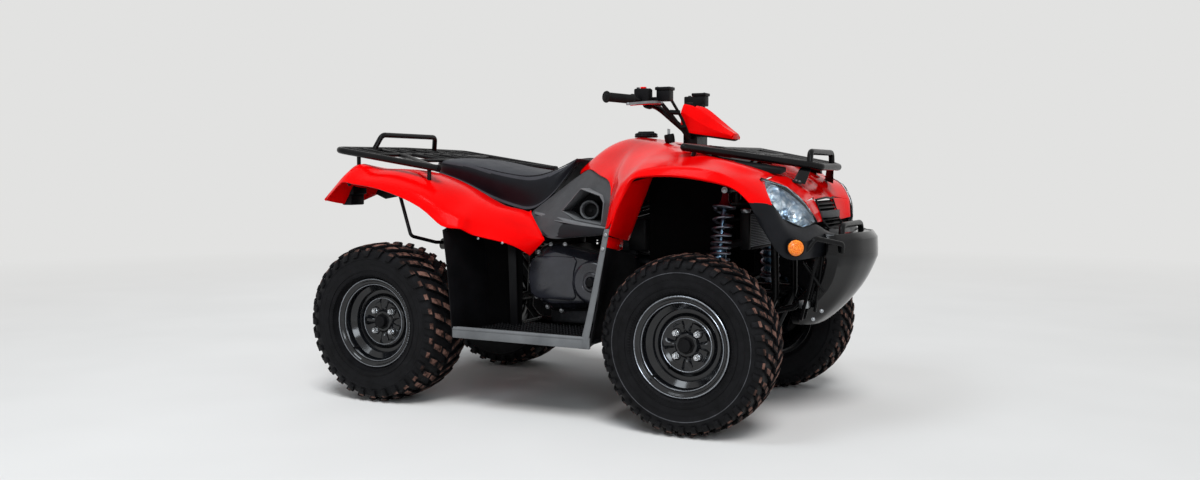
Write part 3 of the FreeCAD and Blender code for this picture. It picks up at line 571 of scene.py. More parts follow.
def make_camera():
    data = bpy.data.cameras.new("camera")
    data.lens = 33.21
    data.sensor_width = 36
    made = bpy.data.objects.new("camera", data)
    bpy.context.scene.collection.objects.link(made)
    yaw, pitch = 2.0399, 0.0608
    made.location = (1.9549, -3.9486, 0.8877)
    made.rotation_euler = (math.pi / 2 - pitch, 0, yaw - math.pi / 2)
    bpy.context.scene.camera = made


def make_light():
    """A broad soft sun, three cool soft boxes, and a backdrop for camera, glossy and transmission rays."""
    sun = bpy.data.objects.new("sun", bpy.data.lights.new("sun", "SUN"))
    sun.data.energy = 2.45
    sun.data.angle = math.radians(25)
    sun.visible_glossy = False
    bpy.context.scene.collection.objects.link(sun)
    sun.rotation_euler = Vector((-0.55, 0.9, -1.35)).to_track_quat("-Z", "Y").to_euler()
    for name, place, size, power in (("side", (3.0, -5.0, 2.6), 1.6, 70), ("back", (-2.5, 4.5, 3.2), 3.4, 36),
                                     ("top", (-0.6, -2.2, 4.0), 1.4, 42)):
        data = bpy.data.lights.new(name, "AREA")
        data.energy = power
        data.color = (0.86, 0.93, 1.0)
        data.size = size
        made = bpy.data.objects.new(name, data)
        made.visible_glossy = name != "back"
        bpy.context.scene.collection.objects.link(made)
        made.location = place
        aim = Vector((0, 0, 0.5)) - Vector(place)
        made.rotation_euler = aim.to_track_quat("-Z", "Y").to_euler()
    world = bpy.data.worlds.new("studio")
    bpy.context.scene.world = world
    world.use_nodes = True
    tree = world.node_tree
    plain = tree.nodes["Background"]
    plain.inputs["Color"].default_value = (1, 1, 1, 1)
    plain.inputs["Strength"].default_value = 0.3
    backdrop = add_node(tree, "Background", {"Color": linear(backdrop_colour), "Strength": 1.0})
    rays = add_node(tree, "LightPath")
    seen = rays.outputs["Is Camera Ray"]
    for ray in ("Is Glossy Ray", "Is Transmission Ray"):
        seen = add_node(tree, "Math", {"operation": "MAXIMUM"}, {0: seen, 1: rays.outputs[ray]}).outputs[0]
    mixed = add_node(tree, "MixShader", links={0: seen, 1: plain.outputs[0], 2: backdrop.outputs[0]})
    tree.links.new(mixed.outputs[0], tree.nodes["World Output"].inputs[0])


def make_floor():
    """A pale floor that takes the shadow and blends into the backdrop far from the machine."""
    bpy.ops.mesh.primitive_plane_add(size=60)
    floor = bpy.context.object
    floor.name = "floor"
    made, tree, skin, place = surface("pale studio floor", {"Roughness": 0.85, "Specular IOR Level": 0.2})
    drive(tree, skin, "Base Color", noise(tree, place, 900, 2), [(0.3, "D8D8D7"), (0.7, "DCDCDB")])
    far = add_node(tree, "VectorMath", {"operation": "LENGTH"}, {0: place}).outputs["Value"]
    fade = add_node(tree, "MapRange", {"From Min": 3.5, "From Max": 9.0}, {"Value": far}).outputs["Result"]
    plain = add_node(tree, "Emission", {"Color": linear(backdrop_colour), "Strength": 1.0})
    mixed = add_node(tree, "MixShader", links={0: fade, 1: skin.outputs[0], 2: plain.outputs[0]})
    tree.links.new(mixed.outputs[0], tree.nodes["Material Output"].inputs["Surface"])
    floor.data.materials.append(made)


# Wheels: built for the right side round the origin, outboard towards -Y

def crown(reach, half):
    """A point across and out on a tyre's carcass, by the distance along it from the middle."""
    scale = half / front_tyre_half
    table = [(0, 0, 295), (45, 45, 294), (72, 72, 291), (87, 86, 286), (100, 95, 276), (116, 100, 261),
             (132, 101, 245)]
    for (s0, y0, r0), (s1, y1, r1) in zip(table, table[1:]):
        if reach <= s1:
            t = (reach - s0) / (s1 - s0)
            return (y0 + (y1 - y0) * t) * scale, r0 + (r1 - r0) * t
    return table[-1][1] * scale, table[-1][2]


def lug(half, start, end, angle, slant, width, rise, side):
    """A tread block along the crown from one reach to another, slanted round the tyre."""
    rows = []
    for share in (0, 0.34, 0.67, 1):
        reach = start + (end - start) * share
        across, radius = crown(reach, half)
        row = []
        for edge in (-0.5, 0.5):
            turn = angle + (slant * share + edge * width * (1 - 0.22 * share)) / radius
            row.append((radius * math.sin(turn), side * across, -radius * math.cos(turn)))
        rows.append(row if side < 0 else row[::-1])
    return patch(rows, rise, 0, edge=1.8, outward=1)


def make_tyre(half, rim_half, pitches, layout):
    """A carcass and its tread; layout rows are start, end, turn in pitches, slant, width and rise."""
    scale = half / front_tyre_half
    outer = [(98, 186), (98.4, 191), (99.5, 206), (101, 226), (101.3, 240), (101, 247), (102.5, 249),
             (102, 252), (99.5, 262), (95, 275), (86, 285), (72, 290), (45, 293), (0, 294.5)]
    flange = rim_half - rim_wall
    side = [(flange - 1, 151), (flange - 0.5, 171.5), (flange + 3, 174), (flange + 6, 179)]
    side += [(a * scale, r) for a, r in outer]
    inner = [(0, 276), (side[13][0] - 12, 262), (side[7][0] - 13, 226), (side[1][0] - 12, 178),
             (side[0][0] - 10, 152)]
    profile = side + [(-a, r) for a, r in reversed(side[:-1])]
    profile += [(-a, r) for a, r in reversed(inner[1:])] + inner
    carcass = turned(profile, hub, axle_line, wheel_steps, look=RUBBER)
    pitch = 2 * math.pi / pitches
    blocks = []
    for start, end, place, slant, width, rise in layout:
        for way in (-1, 1):
            shift = place * pitch if way < 0 else (place + 0.5) * pitch
            blocks.append(lug(half, start, end, shift, slant, width, rise, way))
    tread = around(join(blocks), pitches, hub, axle_line)
    tread.data.materials.append(RUBBER)
    tread.data.materials.append(SOILED)
    for face in tread.data.polygons:
        out = Vector((face.center.x, 0, face.center.z)).normalized()
        face.material_index = 1 if face.normal.dot(out) > lug_top_facing else 0
    wall = side[6][0]
    # The sidewall rib in lighter grey rubber, as a painted highlight line
    rib = turned([(wall + 1.4, 247.5), (wall + 3.4, 249), (wall + 3.2, 250.6), (wall + 1, 252)], hub,
                 outboard, wheel_steps, look=PAINTED_HIGHLIGHT_RUBBER)
    lines = [turned([(wall - 1, r - 1.6), (wall + 2.4, r - 1), (wall + 2.4, r + 1), (wall - 1, r + 1.6)], hub,
                    outboard, wheel_steps, look=RUBBER) for r in (203, 228)]
    tick = block((-1.3, -(side[4][0] + 2.2), 183), (1.3, -(side[4][0] - 3), 192), 0, RUBBER)
    ticks = around(tick, 120, hub, axle_line)
    return join([carcass, tread, rib, ticks] + lines)


def make_rim(half):
    """A dropped-centre steel wheel with its pressed disc, nuts, cap and valve."""
    disc = 34
    lip = rim_lip
    profile = [(half + 1, lip - 2), (half + 1, lip + 1), (half - 3, lip + 3), (half - 6, lip),
               (half - 7, 152), (half - 40, 151), (half - 56, 128), (18 - half, 128), (12 - half, 150),
               (6 - half, 152), (5 - half, lip - 2), (3 - half, lip), (-half, lip - 2), (-half, 149),
               (14 - half, 122), (disc - 16, 122), (disc - 12, 98), (disc - 7, 90), (disc - 10, 78),
               (disc - 13, 42), (disc + 2, 36), (disc + 2, 0), (disc + 8, 0), (disc + 8, 38), (disc - 4, 46),
               (disc - 5, 74), (disc + 2, 84), (disc + 5, 91), (disc + 2, 99), (disc - 8, 108),
               (disc - 8, 122), (half - 50, 123), (half - 36, 144), (half - 12, 145), (half - 8, 150),
               (half - 6, 160), (half - 1, 164)]
    shell = turned([(-a, r) for a, r in profile], hub, axle_line, wheel_steps, 1.2, ENAMEL)
    # Thin rings of light grey metal at the lip, the bead seat and the disc ring: painted highlights on the
    # black enamel
    edges = []
    for along, radius, size in ((half + 1.4, lip - 0.5, 2.2), (half - 9, 148.5, 1.6), (disc + 5.6, 91, 1.8)):
        ring = [(along + size * math.cos(i * math.pi / 3), radius + size * math.sin(i * math.pi / 3))
                for i in range(6)]
        edges.append(turned(ring, hub, outboard, wheel_steps, look=PAINTED_HIGHLIGHT_GREY))
    rib = patch([[(-9, -(disc - 3), 40), (0, -(disc + 1), 40), (9, -(disc - 3), 40)],
                 [(-13, -(disc - 2), 52), (0, -(disc + 10), 54), (13, -(disc - 2), 52)],
                 [(-18, -(disc - 1), 72), (0, -(disc + 11), 74), (18, -(disc - 1), 72)],
                 [(-24, -(disc + 1), 90), (0, -(disc + 5), 90), (24, -(disc + 1), 90)]], 4, 2, edge=0)
    ribs = paint(around(rib, 4, hub, axle_line), ENAMEL)
    stud = stud_circle / 2 * math.sqrt(0.5)
    boss = turned([(disc - 7, 0), (disc - 7, 18), (disc - 1, 15), (disc + 1, 12), (disc + 1, 0)],
                  (stud, 0, stud), outboard, 24)
    bosses = paint(around(boss, 4, hub, axle_line), ENAMEL)
    nut = join([rod((stud, -disc, stud), (stud, -disc - 5, stud), 12, 10.5, 24, 0.4),
                rod((stud, -disc - 4, stud), (stud, -disc - 16, stud), 10.4, None, 6, 1.0),
                rod((stud, -disc - 15, stud), (stud, -disc - 21, stud), 7.6, 5, 20, 1.5)])
    nuts = paint(around(nut, 4, hub, axle_line), CHROME)
    cap = join([rod((0, -disc - 4, 0), (0, -disc - 12, 0), 33, 31, 8, 2.5, BLACK_PP),
                rod((0, -disc - 10, 0), (0, -disc - 30, 0), 27, 24, 8, 2.5, BLACK_PP)])
    valve_x, valve_z = -100, -104
    valve = join([rod((valve_x, 28 - half, valve_z), (valve_x, -half + 6, valve_z), 5.5, 4, look=RUBBER),
                  rod((valve_x, -half + 7, valve_z), (valve_x, -half - 3, valve_z), 4.4, 4, look=BLACK_PP)])
    return join([shell, ribs, bosses, nuts, cap, valve] + edges)


def make_wheels():
    fine = [(5, 38, 0.0, 18, 22, lug_height), (44, 76, 0.5, 15, 21, 12), (81, 112, 0.08, 6, 22, 9)]
    coarse = [(6, 44, 0.0, 24, 26, lug_height), (51, 86, 0.5, 18, 26, 12), (89, 120, 0.1, 7, 26, 9)]
    for axle, x, track, half, rim_half, pitches, layout in (
            ("front", front_axle_x, front_track, front_tyre_half, front_rim_half, 40, fine),
            ("rear", rear_axle_x, rear_track, rear_tyre_half, rear_rim_half, 32, coarse)):
        tyre = make_tyre(half, rim_half, pitches, layout)
        rim = make_rim(rim_half)
        for part, word in ((tyre, "tyre_"), (rim, "rim_")):
            right = copied(part, Matrix.Translation(mm((x, -track / 2, axle_height))))
            left = mirrored(right)
            bpy.data.objects.remove(part)
            for piece, side in ((right, "right"), (left, "left")):
                body = "rear_axle" if axle == "rear" else "wheel_front_" + side
                node = word + axle + "_" + side
                show(piece, node, body, 40)


# Body panels

front_rows = [
    [(-66, 0, 930), (-66, -55, 925), (-68, -85, 915), (-70, -104, 904), (-72, -110, 898), (-73, -114, 890),
     (-74, -118, 882)],
    [(20, 0, 990), (20, -80, 982), (16, -120, 962), (14, -150, 938), (12, -164, 928), (11, -178, 916),
     (10, -191, 904)],
    [(112, 0, 1024), (112, -100, 1013), (110, -160, 985), (108, -215, 940), (107, -238, 922),
     (105, -268, 896), (105, -297, 871)],
    [(188, 0, 1020), (188, -150, 1010), (188, -230, 975), (190, -310, 915), (194, -345, 890),
     (198, -370, 867), (202, -394, 845)],
    [(228, 0, 1014), (228, -168, 1006), (226, -265, 972), (224, -360, 918), (226, -410, 872),
     (218, -450, 780), (212, -470, 697)],
    [(270, 0, 1003), (272, -190, 1001), (276, -310, 962), (288, -440, 908), (302, -554, 828),
     (272, -549, 768), (251, -545, 700)],
    [(340, 0, 985), (340, -222, 990), (342, -350, 957), (344, -470, 918), (346, -558, 873), (318, -575, 796),
     (279, -575, 704)],
    [(366, 0, 974), (368, -250, 981), (368, -368, 952), (366, -478, 922), (366, -559, 885), (348, -574, 852),
     (352, -564, 846)],
    [(402, 0, 960), (402, -280, 970), (402, -390, 945), (400, -485, 925), (395, -560, 895), (386, -576, 873),
     (388, -566, 867)],
    [(480, 0, 940), (480, -320, 957), (480, -420, 938), (480, -500, 922), (480, -560, 905), (480, -580, 880),
     (482, -570, 874)],
    [(580, 0, 920), (580, -375, 942), (580, -450, 926), (578, -510, 914), (576, -560, 903), (570, -580, 873),
     (572, -570, 867)],
    [(667, 0, 902), (667, -395, 922), (667, -460, 906), (664, -515, 897), (660, -558, 890), (657, -578, 858),
     (659, -568, 852)],
    [(735, 0, 882), (735, -400, 900), (738, -455, 880), (736, -505, 866), (730, -548, 856), (726, -572, 838),
     (728, -562, 832)],
    [(770, 0, 868), (771, -110, 871), (772, -260, 876), (776, -426, 864), (833, -502, 783), (776, -568, 792),
     (778, -558, 786)]]


def make_front_body():
    """The tank cover, hood and both front fenders as one moulding, with a sleeve for the column."""
    leg, ridge, lip = 5, [(0.7, 5, 13)], [(0.8, 6, 13)]
    top = patch(both_sides(front_rows), 4, 2, {leg: [(0.8, 0, 2), (0.8, 10, 12)]},
                {1: lip, 2: ridge, 5: 0.4, 7: 0.4, 10: ridge, 11: lip}, fits=1, look=RED)
    cut(top, rod((372, 0, 900), (340, 0, 1050), 64, sides=48, edge=0))
    wall = patch([[(279, -574, 674), (264, -460, 655), (248, -350, 642)],
                  [(319, -574, 794), (306, -460, 770), (292, -350, 752)],
                  [(348, -572, 850), (345, -460, 862), (342, -350, 872)]], 4, 2, look=RED)
    tab = slab([(272, -560, 668), (250, -400, 648), (246, -400, 612), (262, -560, 612)], (-4, 0, 0), 2, RED)
    screw = screws([(257, -440, 630)], (1, -0.2, 0), 6.5)
    sides = with_mirror([join([wall, tab, screw])])
    show(join([top] + sides), "front_body", smooth=40)
    sleeve = turned([(-30, 60), (-22, 70), (-4, 72), (2, 66), (4, 40), (9, 30), (9, 20), (3, 19), (-6, 34),
                     (-10, 58)], column_at(0.945), column_line, 48, 1.0, GRIP)
    finish(sleeve, "column_gaiter")


rear_rows = [
    [(-966, -240, 800), (-972, -330, 775), (-985, -400, 760), (-1010, -505, 778), (-1012, -515, 782),
     (-1008, -518, 776)],
    [(-905, -130, 866), (-900, -300, 896), (-890, -420, 914), (-885, -475, 918), (-890, -535, 880),
     (-893, -556, 850)],
    [(-800, -130, 868), (-800, -280, 894), (-800, -400, 903), (-800, -480, 892), (-812, -548, 862),
     (-815, -566, 842)],
    [(-690, -130, 856), (-680, -215, 890), (-680, -380, 898), (-690, -470, 886), (-700, -548, 848),
     (-705, -566, 826)],
    [(-500, -208, 786), (-500, -250, 840), (-505, -370, 850), (-510, -460, 838), (-513, -545, 802),
     (-514, -566, 760)],
    [(-400, -205, 762), (-410, -240, 790), (-415, -340, 806), (-420, -440, 790), (-424, -530, 745),
     (-424, -562, 690)],
    [(-350, -207, 742), (-360, -245, 770), (-366, -335, 782), (-370, -425, 765), (-352, -520, 722),
     (-346, -548, 684)],
    [(-300, -210, 725), (-310, -250, 752), (-318, -330, 760), (-322, -400, 742), (-326, -470, 706),
     (-322, -504, 656)],
    [(-250, -228, 730), (-246, -262, 745), (-234, -320, 738), (-222, -380, 706), (-210, -430, 666),
     (-199, -460, 628)],
    [(-212, -268, 742), (-194, -285, 727), (-164, -308, 700), (-130, -332, 668), (-98, -356, 636),
     (-146, -384, 578)]]


def make_rear_fender():
    side = patch(rear_rows, 4, 2, {1: 0.35}, {4: 0.6}, look=RED)
    deck = patch([[(x, -131, z), (x, 0, z), (x, 131, z)] for x, z in ((-905, 866), (-800, 868), (-690, 856))],
                 5, 1, look=RED)
    show(join([deck] + with_mirror([side])), "rear_fender", smooth=40)
    holder = plate([(-930, 800), (-900, 846), (-760, 850), (-716, 822), (-760, 800), (-880, 780)], "y", -300,
                   -294, 1.5, BLACK_PP)
    lip = rod((-868, -546, 853), (-868, -536, 838), 7, sides=16, look=BLACK_PP)
    finish(pair([holder, lip]), "fender_underside_brackets")


nose_rows = [
    [(770.4, 0, 868), (771.4, -110, 869), (771.6, -150, 877), (772.4, -260, 878), (780, -410, 864)],
    [(816, 0, 835), (816, -104, 836), (818, -136, 848), (825, -240, 848), (836, -362, 842)],
    [(866, 0, 797), (858, -106, 794), (862, -126, 802), (868, -210, 794), (884, -292, 786)]]
cheek_rows = [
    [(858, -112, 795), (868, -210, 792), (884, -290, 786)],
    [(880, -105, 750), (884, -186, 750), (896, -254, 748)],
    [(890, -105, 716), (894, -172, 716), (904, -230, 722)]]


def make_nose():
    top = patch(both_sides(nose_rows), 4, 2, {}, {1: 0.3, 2: 0.9, 3: 0.7, 5: 0.7, 6: 0.9, 7: 0.3}, fits=1,
                look=RED)
    cheek = patch(cheek_rows, 4, 2, look=RED)
    show(join([top] + with_mirror([cheek])), "nose_panel", smooth=40)


# Seat

seat_sections = [(-745, 935, 894, 118), (-690, 945, 880, 168), (-560, 938, 838, 186), (-440, 915, 786, 196),
                 (-317, 897, 748, 200), (-240, 892, 744, 196), (-160, 906, 806, 176), (-84, 944, 930, 128)]


def seat_ring(x, top, low, half):
    """One section of the seat from under its middle, over the right edge, to its crown."""
    drop = top - low
    return [(x, 0, low + 4), (x, -half * 0.9, low), (x, -half * 0.97, low + drop * 0.1),
            (x, -half, top - drop * 0.42), (x, -half * 0.93, top - drop * 0.14), (x, -half * 0.6, top - 1),
            (x, 0, top + 3)]


def make_seat():
    """Foam under a two-part vinyl cover: a matt top panel, a smoother side band and the welt between them."""
    rows = [seat_ring(*section) for section in seat_sections]
    closed = [row + [(x, -y, z) for x, y, z in reversed(row[:-1])] for row in rows]
    cushion = patch(closed, 0, 3, {0: 0.5, 7: 0.5}, {2: 0.4, 10: 0.4, 4: 0.35, 8: 0.35}, edge=0, fits=3)
    activate(cushion)
    bpy.ops.object.mode_set(mode="EDIT")
    bpy.ops.mesh.select_all(action="SELECT")
    bpy.ops.mesh.remove_doubles(threshold=0.0002)
    bpy.ops.mesh.fill_holes(sides=0)
    bpy.ops.mesh.normals_make_consistent(inside=False)
    bpy.ops.object.mode_set(mode="OBJECT")
    cushion.data.materials.append(VINYL_TOP)
    cushion.data.materials.append(VINYL_SIDE)
    for face in cushion.data.polygons:
        face.material_index = 0 if face.normal.z > seat_top_facing else 1
    show(cushion, "seat", smooth=60)
    welt = []
    for share, inset in ((0.14, 0.935), (0.93, 0.965)):
        line = [(x, -half * inset, top - (top - low) * share) for x, top, low, half in seat_sections]
        welt.append(tube(line, 1.9, smooth=True, look=VINYL_SIDE))
    finish(join(with_mirror(welt)), "seat_welts")
    for piece in with_mirror([tube([(x, -half * 0.9, low - 3) for x, top, low, half in seat_sections], 5,
                                   smooth=True, look=BLACK_PP)]):
        finish(piece, "seat_base_edge_" + ("left" if piece.data.vertices[0].co.y > 0 else "right"))


# Side panels

panel_rows = [
    [(-236, -206, 738), (-232, -222, 730), (-226, -240, 722), (-218, -256, 716)],
    [(-110, -188, 830), (-110, -240, 790), (-104, -310, 720), (-98, -352, 648)],
    [(10, -178, 907), (-6, -260, 810), (0, -330, 730), (10, -370, 650)],
    [(104, -282, 879), (110, -340, 800), (120, -370, 740), (140, -398, 660)],
    [(204, -374, 856), (208, -424, 780), (214, -432, 740), (222, -437, 676)]]
duct = [(-54, 744), (50, 830), (152, 806), (172, 780), (160, 698), (20, 712)]
duct_inner_y = -236
inlet_centre = (51, -276, 748)
inlet_way = (0.3, -1, 0.12)


def make_side_panels():
    """A grey side cover with a pale ridge, a duct with a round inlet, and a darker lower band."""
    shell = patch(panel_rows, 5, 3, {0: 1, 4: 1}, {0: 1, 1: 0.8, 2: 0.8, 3: 1}, look=GREY_PP)
    opening = slab([(x, -480, z) for x, z in duct], (0, 300, 0), 6)
    cut(shell, opening)
    loop = [(x, z) for x, z in duct + duct[:1]]
    depth = [
        [(x, -300 - max(0, x + 66) * 0.42, z) for x, z in loop],
        [(x * 0.96, duct_inner_y, z) for x, z in loop]]
    walls = patch(depth, 3, 0, look=PALE_PP, edge=0.8)
    back = slab([(x, duct_inner_y, z) for x, z in duct], (0, 4, 0), 0, BLACK_PP)
    ring = turned([(-30, 34), (4, 37), (10, 36), (12, 33), (10, 29), (-26, 26), (-30, 26)], inlet_centre,
                  inlet_way, 64, 1.0, PALE_PP)
    second = turned([(-20, 0), (-20, 20), (0, 20), (4, 17), (4, 0)], (126, -280, 782), inlet_way, 40, 1.0,
                    GREY_PP)
    throat = turned([(-26, 0), (-26, 27), (-22, 27), (-22, 9), (-12, 9), (-12, 0)], inlet_centre, inlet_way,
                    48, 0.8, BLACK_PP)
    vane = slab([(100, -260, 812), (168, -300, 784), (160, -310, 730), (120, -262, 744)], (4, 6, 0), 1.5,
                PALE_PP)
    ridge = slab([(-203, -252, 738), (-60, -322, 722), (60, -368, 706), (190, -430, 694), (196, -436, 684),
                  (60, -378, 694), (-60, -334, 706), (-196, -262, 728)], (0, 8, 0), 2.5, PALE_PP)
    band = patch([[(-178, -262, 718), (-150, -292, 692), (-112, -348, 652)],
                  [(-40, -330, 700), (-30, -352, 674), (-20, -366, 646)],
                  [(190, -430, 688), (200, -436, 678), (210, -438, 672)]], 4, 1, look=EDGE_PP, outward=1)
    detail = [walls, back, ring, second, throat, vane, ridge, band]
    show(pair([shell] + detail), "side_panels")


# Footwells

front_guard_rows = [
    [(202, -572, 284), (209, -573, 330), (229, -573, 420), (262, -572, 634)],
    [(178, -440, 284), (180, -440, 330), (196, -440, 420), (258, -440, 612)],
    [(218, -230, 284), (220, -230, 330), (236, -240, 420), (262, -330, 588)]]
rear_guard_rows = [
    [(-356, -215, 284), (-360, -215, 500), (-372, -240, 712)],
    [(-364, -400, 284), (-370, -400, 500), (-386, -400, 726)],
    [(-366, -574, 284), (-384, -572, 500), (-412, -564, 676)]]


def make_footwells():
    """Board, edge rail, splash guards and inner wall of the right footwell, then its mirror image."""
    board = block((-362, -569, 294), (204, -210, 298), 0.5, BLACK_PP)
    rib_pitch = 26
    ribs = [block((x, -560, 297), (x + 5, -226, 302.5), 0.8) for x in range(-330, 190, rib_pitch)]
    ribs += [block((-350, y, 297), (196, y + 5, 301), 0.8) for y in range(-548, -226, 46)]
    studs = [rod((x + 15, y, 297), (x + 15, y, 306), 5, 3, 6, 0) for x in range(-330, 180, rib_pitch)
             for y in range(-540, -240, 23)]
    tread = paint(join(ribs + studs), BLACK_PP)
    edge = plate([(-366, 280), (-366, 316), (-345, 322), (200, 318), (204, 312), (204, 276)], "y", -577, -565,
                 3.0, PALE_PP)
    hem = rod((-362, -572, 314), (200, -572, 312), 7, look=PALE_PP)
    front = patch(front_guard_rows, 4, 2, look=BLACK_PP)
    rear = patch(rear_guard_rows, 4, 2, look=BLACK_PP)
    inner = patch([[(-366, -330, 300), (-368, -330, 500), (-376, -345, 716)],
                   [(-300, -300, 300), (-300, -305, 500), (-305, -330, 742)],
                   [(-232, -300, 300), (-226, -300, 500), (-214, -330, 716)]], 4, 2, look=LINER)
    strip = patch([[(197, -576, 280), (206, -576, 330), (226, -576, 420), (282, -576, 694)],
                   [(186, -580, 280), (194, -580, 330), (216, -580, 420), (273, -580, 696)],
                   [(168, -576, 280), (176, -576, 330), (200, -576, 420), (260, -576, 694)]], 12, 1,
                  look=PALE_PP, edge=2.5)
    fixings = screws([(270, -581, 676), (258, -581, 628)], (0, -1, 0), 6.5)
    rear_fixings = screws([(-411, -546, 672), (-398, -474, 686)], (1, -0.3, 0), 6.5)
    small = screws([(-288, -517, 645), (-206, -482, 629)], (0.3, -1, 0), 4.5)
    post = slab([(-262, -336, 300), (-238, -320, 300), (-246, -320, 650), (-274, -336, 650)], (0, 5, 0), 2,
                BLACK_PP)
    pieces = [board, tread, edge, hem, front, rear, inner, post, strip, fixings, rear_fixings, small]
    right = join(pieces)
    left = mirrored(right)
    show(right, "footwell_right")
    show(left, "footwell_left")


# Lower nose, lamps and bumper

fascia_rows = [
    [(777, -567, 790), (784, -540, 756), (780, -503, 735)],
    [(834, -502, 782), (828, -486, 722), (821, -464, 652)],
    [(848, -428, 735), (872, -430, 672), (860, -424, 602)],
    [(885, -331, 703), (914, -344, 660), (905, -334, 600)],
    [(904, -246, 714), (930, -224, 668), (918, -220, 600)],
    [(918, -150, 684), (940, -122, 668), (925, -120, 600)],
    [(920, 0, 682), (944, 0, 670), (930, 0, 600)]]


def make_fascia():
    shell = patch(past_middle(fascia_rows), 4, 2, {}, {1: 0.75}, look=EDGE_PP)
    chin = slab([(936, -150, 668), (944, 0, 672), (936, 150, 668), (918, 130, 690), (922, 0, 694),
                 (918, -130, 690)], (0, 0, -8), 2, EDGE_PP)
    # A near-black liner plate behind the grille slats, standing in for the shade inside the nose
    back = block((846, -190, 656), (852, 190, 786), 0, LINER)
    slats = [slab([(862 + i * 5, -110, 782 - i * 14), (874 + i * 5, -110, 776 - i * 14),
                   (874 + i * 5, 110, 776 - i * 14), (862 + i * 5, 110, 782 - i * 14)], (0, 0, -3), 0.8,
                  BLACK_PP) for i in range(7)]
    bar = slab([(892, -118, 752), (902, -60, 752), (908, 0, 754), (902, 60, 752), (892, 118, 752),
                (894, 112, 728), (906, 50, 726), (912, 0, 728), (906, -50, 726), (894, -112, 728)],
               (-10, 0, 0), 2.5, GREY_PP)
    surround = tube([(866, -112, 792), (890, -110, 720), (914, -108, 690), (922, 0, 686), (914, 108, 690),
                     (890, 110, 720), (866, 112, 792), (872, 0, 798), (866, -112, 792)], 3.5, 10,
                    look=BLACK_PP)
    # Near-black plates behind the cheeks: painted shade, so that the backdrop doesn't show through the nose
    shade_plates = with_mirror([slab([(876, -106, 640), (872, -106, 730), (892, -246, 728), (896, -246, 640)],
                                (-6, 0, 0), 1, LINER)])
    show(join([shell, chin, back, bar, surround] + shade_plates + slats), "front_fascia")


lamp_rows = [
    [(773, -434, 864), (838, -368, 840), (886, -304, 780), (903, -248, 720)],
    [(792, -455, 836), (838, -412, 806), (880, -352, 758), (896, -288, 712)],
    [(804, -464, 802), (828, -448, 768), (848, -424, 734), (882, -328, 704)]]


def moved(rows, step):
    return [[tuple(a + b for a, b in zip(point, step)) for point in row] for row in rows]


def make_headlights():
    """A clear lens over two bright bowls and a faceted reflector, with a black upper trim."""
    lens = patch(lamp_rows, 2.5, 2, {0: 1, 2: 1}, {0: 1, 3: 1}, edge=0.4, look=LENS)
    deep = moved(lamp_rows, (-34, 20, -2))
    mirror = patch(deep, 2, 0, edge=0, look=REFLECTOR)
    rims = [patch([lamp_rows[i], deep[i]], 1.5, 0, edge=0, look=REFLECTOR) for i in (0, 2)]
    rims.append(patch([[row[3] for row in lamp_rows], [row[3] for row in deep]], 1.5, 0, edge=0,
                      look=REFLECTOR))
    facets = []
    for i in range(9):
        share = i / 8
        top = [a + (b - a) * share for a, b in zip((772, -412, 852), (882, -246, 716))]
        low = [a + (b - a) * share for a, b in zip((790, -440, 800), (864, -304, 704))]
        swing = 7 if i % 2 else 0
        facets.append(((top[0] + swing, top[1] - swing, top[2]), (low[0] + swing, low[1] - swing, low[2])))
    pleats = patch([[a for a, b in facets], [b for a, b in facets]], 1.5, 0, edge=0, look=REFLECTOR,
                   outward=1)
    lamp_way = (0.86, -0.5, 0.06)
    bowls = []
    for place, size in (((806, -414, 818), 27), ((862, -352, 752), 30)):
        bowls.append(turned([(2, size), (0, size + 1.5), (-12, size * 0.86), (-24, size * 0.5), (-27, 5),
                             (-30, 0), (-26, 0), (-24, 5), (-21, size * 0.46), (-10, size * 0.8)], place,
                            lamp_way, 40, look=REFLECTOR))
        tip = Vector(place)
        way = Vector(lamp_way).normalized()
        bowls.append(rod(tip - way * 22, tip - way * 4, 6, 5, 20, 1.5, CHROME))
    shell = patch(moved(lamp_rows, (-48, 30, -2)), 6, 0, look=BLACK_PP, outward=0, edge=0)
    trim = tube([(769, -430, 867), (838, -366, 843), (886, -301, 784), (905, -244, 721)], 5, smooth=True,
                look=BLACK_PP)
    under = tube([(905, -244, 719), (883, -328, 702), (847, -426, 732), (803, -467, 802), (769, -434, 865)],
                 3, 14, look=BLACK_PP)
    right = join([mirror, pleats, shell, trim, under] + bowls + rims)
    finish(lens, "lens_right", smooth=50)
    finish(mirrored(lens), "lens_left", smooth=50)
    show(join(with_mirror([right])), "headlights", smooth=30)


bumper_returned = [(926, -216, 676), (938, -230, 650), (936, -232, 592), (892, -174, 486), (800, -142, 388),
                   (792, -118, 352)]
bumper_outer = [(962, -220, 674), (974, -228, 650), (976, -228, 592), (928, -170, 482), (828, -142, 384),
                (818, -118, 350)]
bumper_ridge = [(1006, -134, 676), (1020, -143, 655), (1022, -141, 592), (972, -108, 482), (890, -92, 384),
                (840, -68, 346)]
bumper_centre = [(1024, 0, 676), (1046, 0, 655), (1049, 0, 592), (1002, 0, 490), (904, 0, 380), (848, 0, 340)]


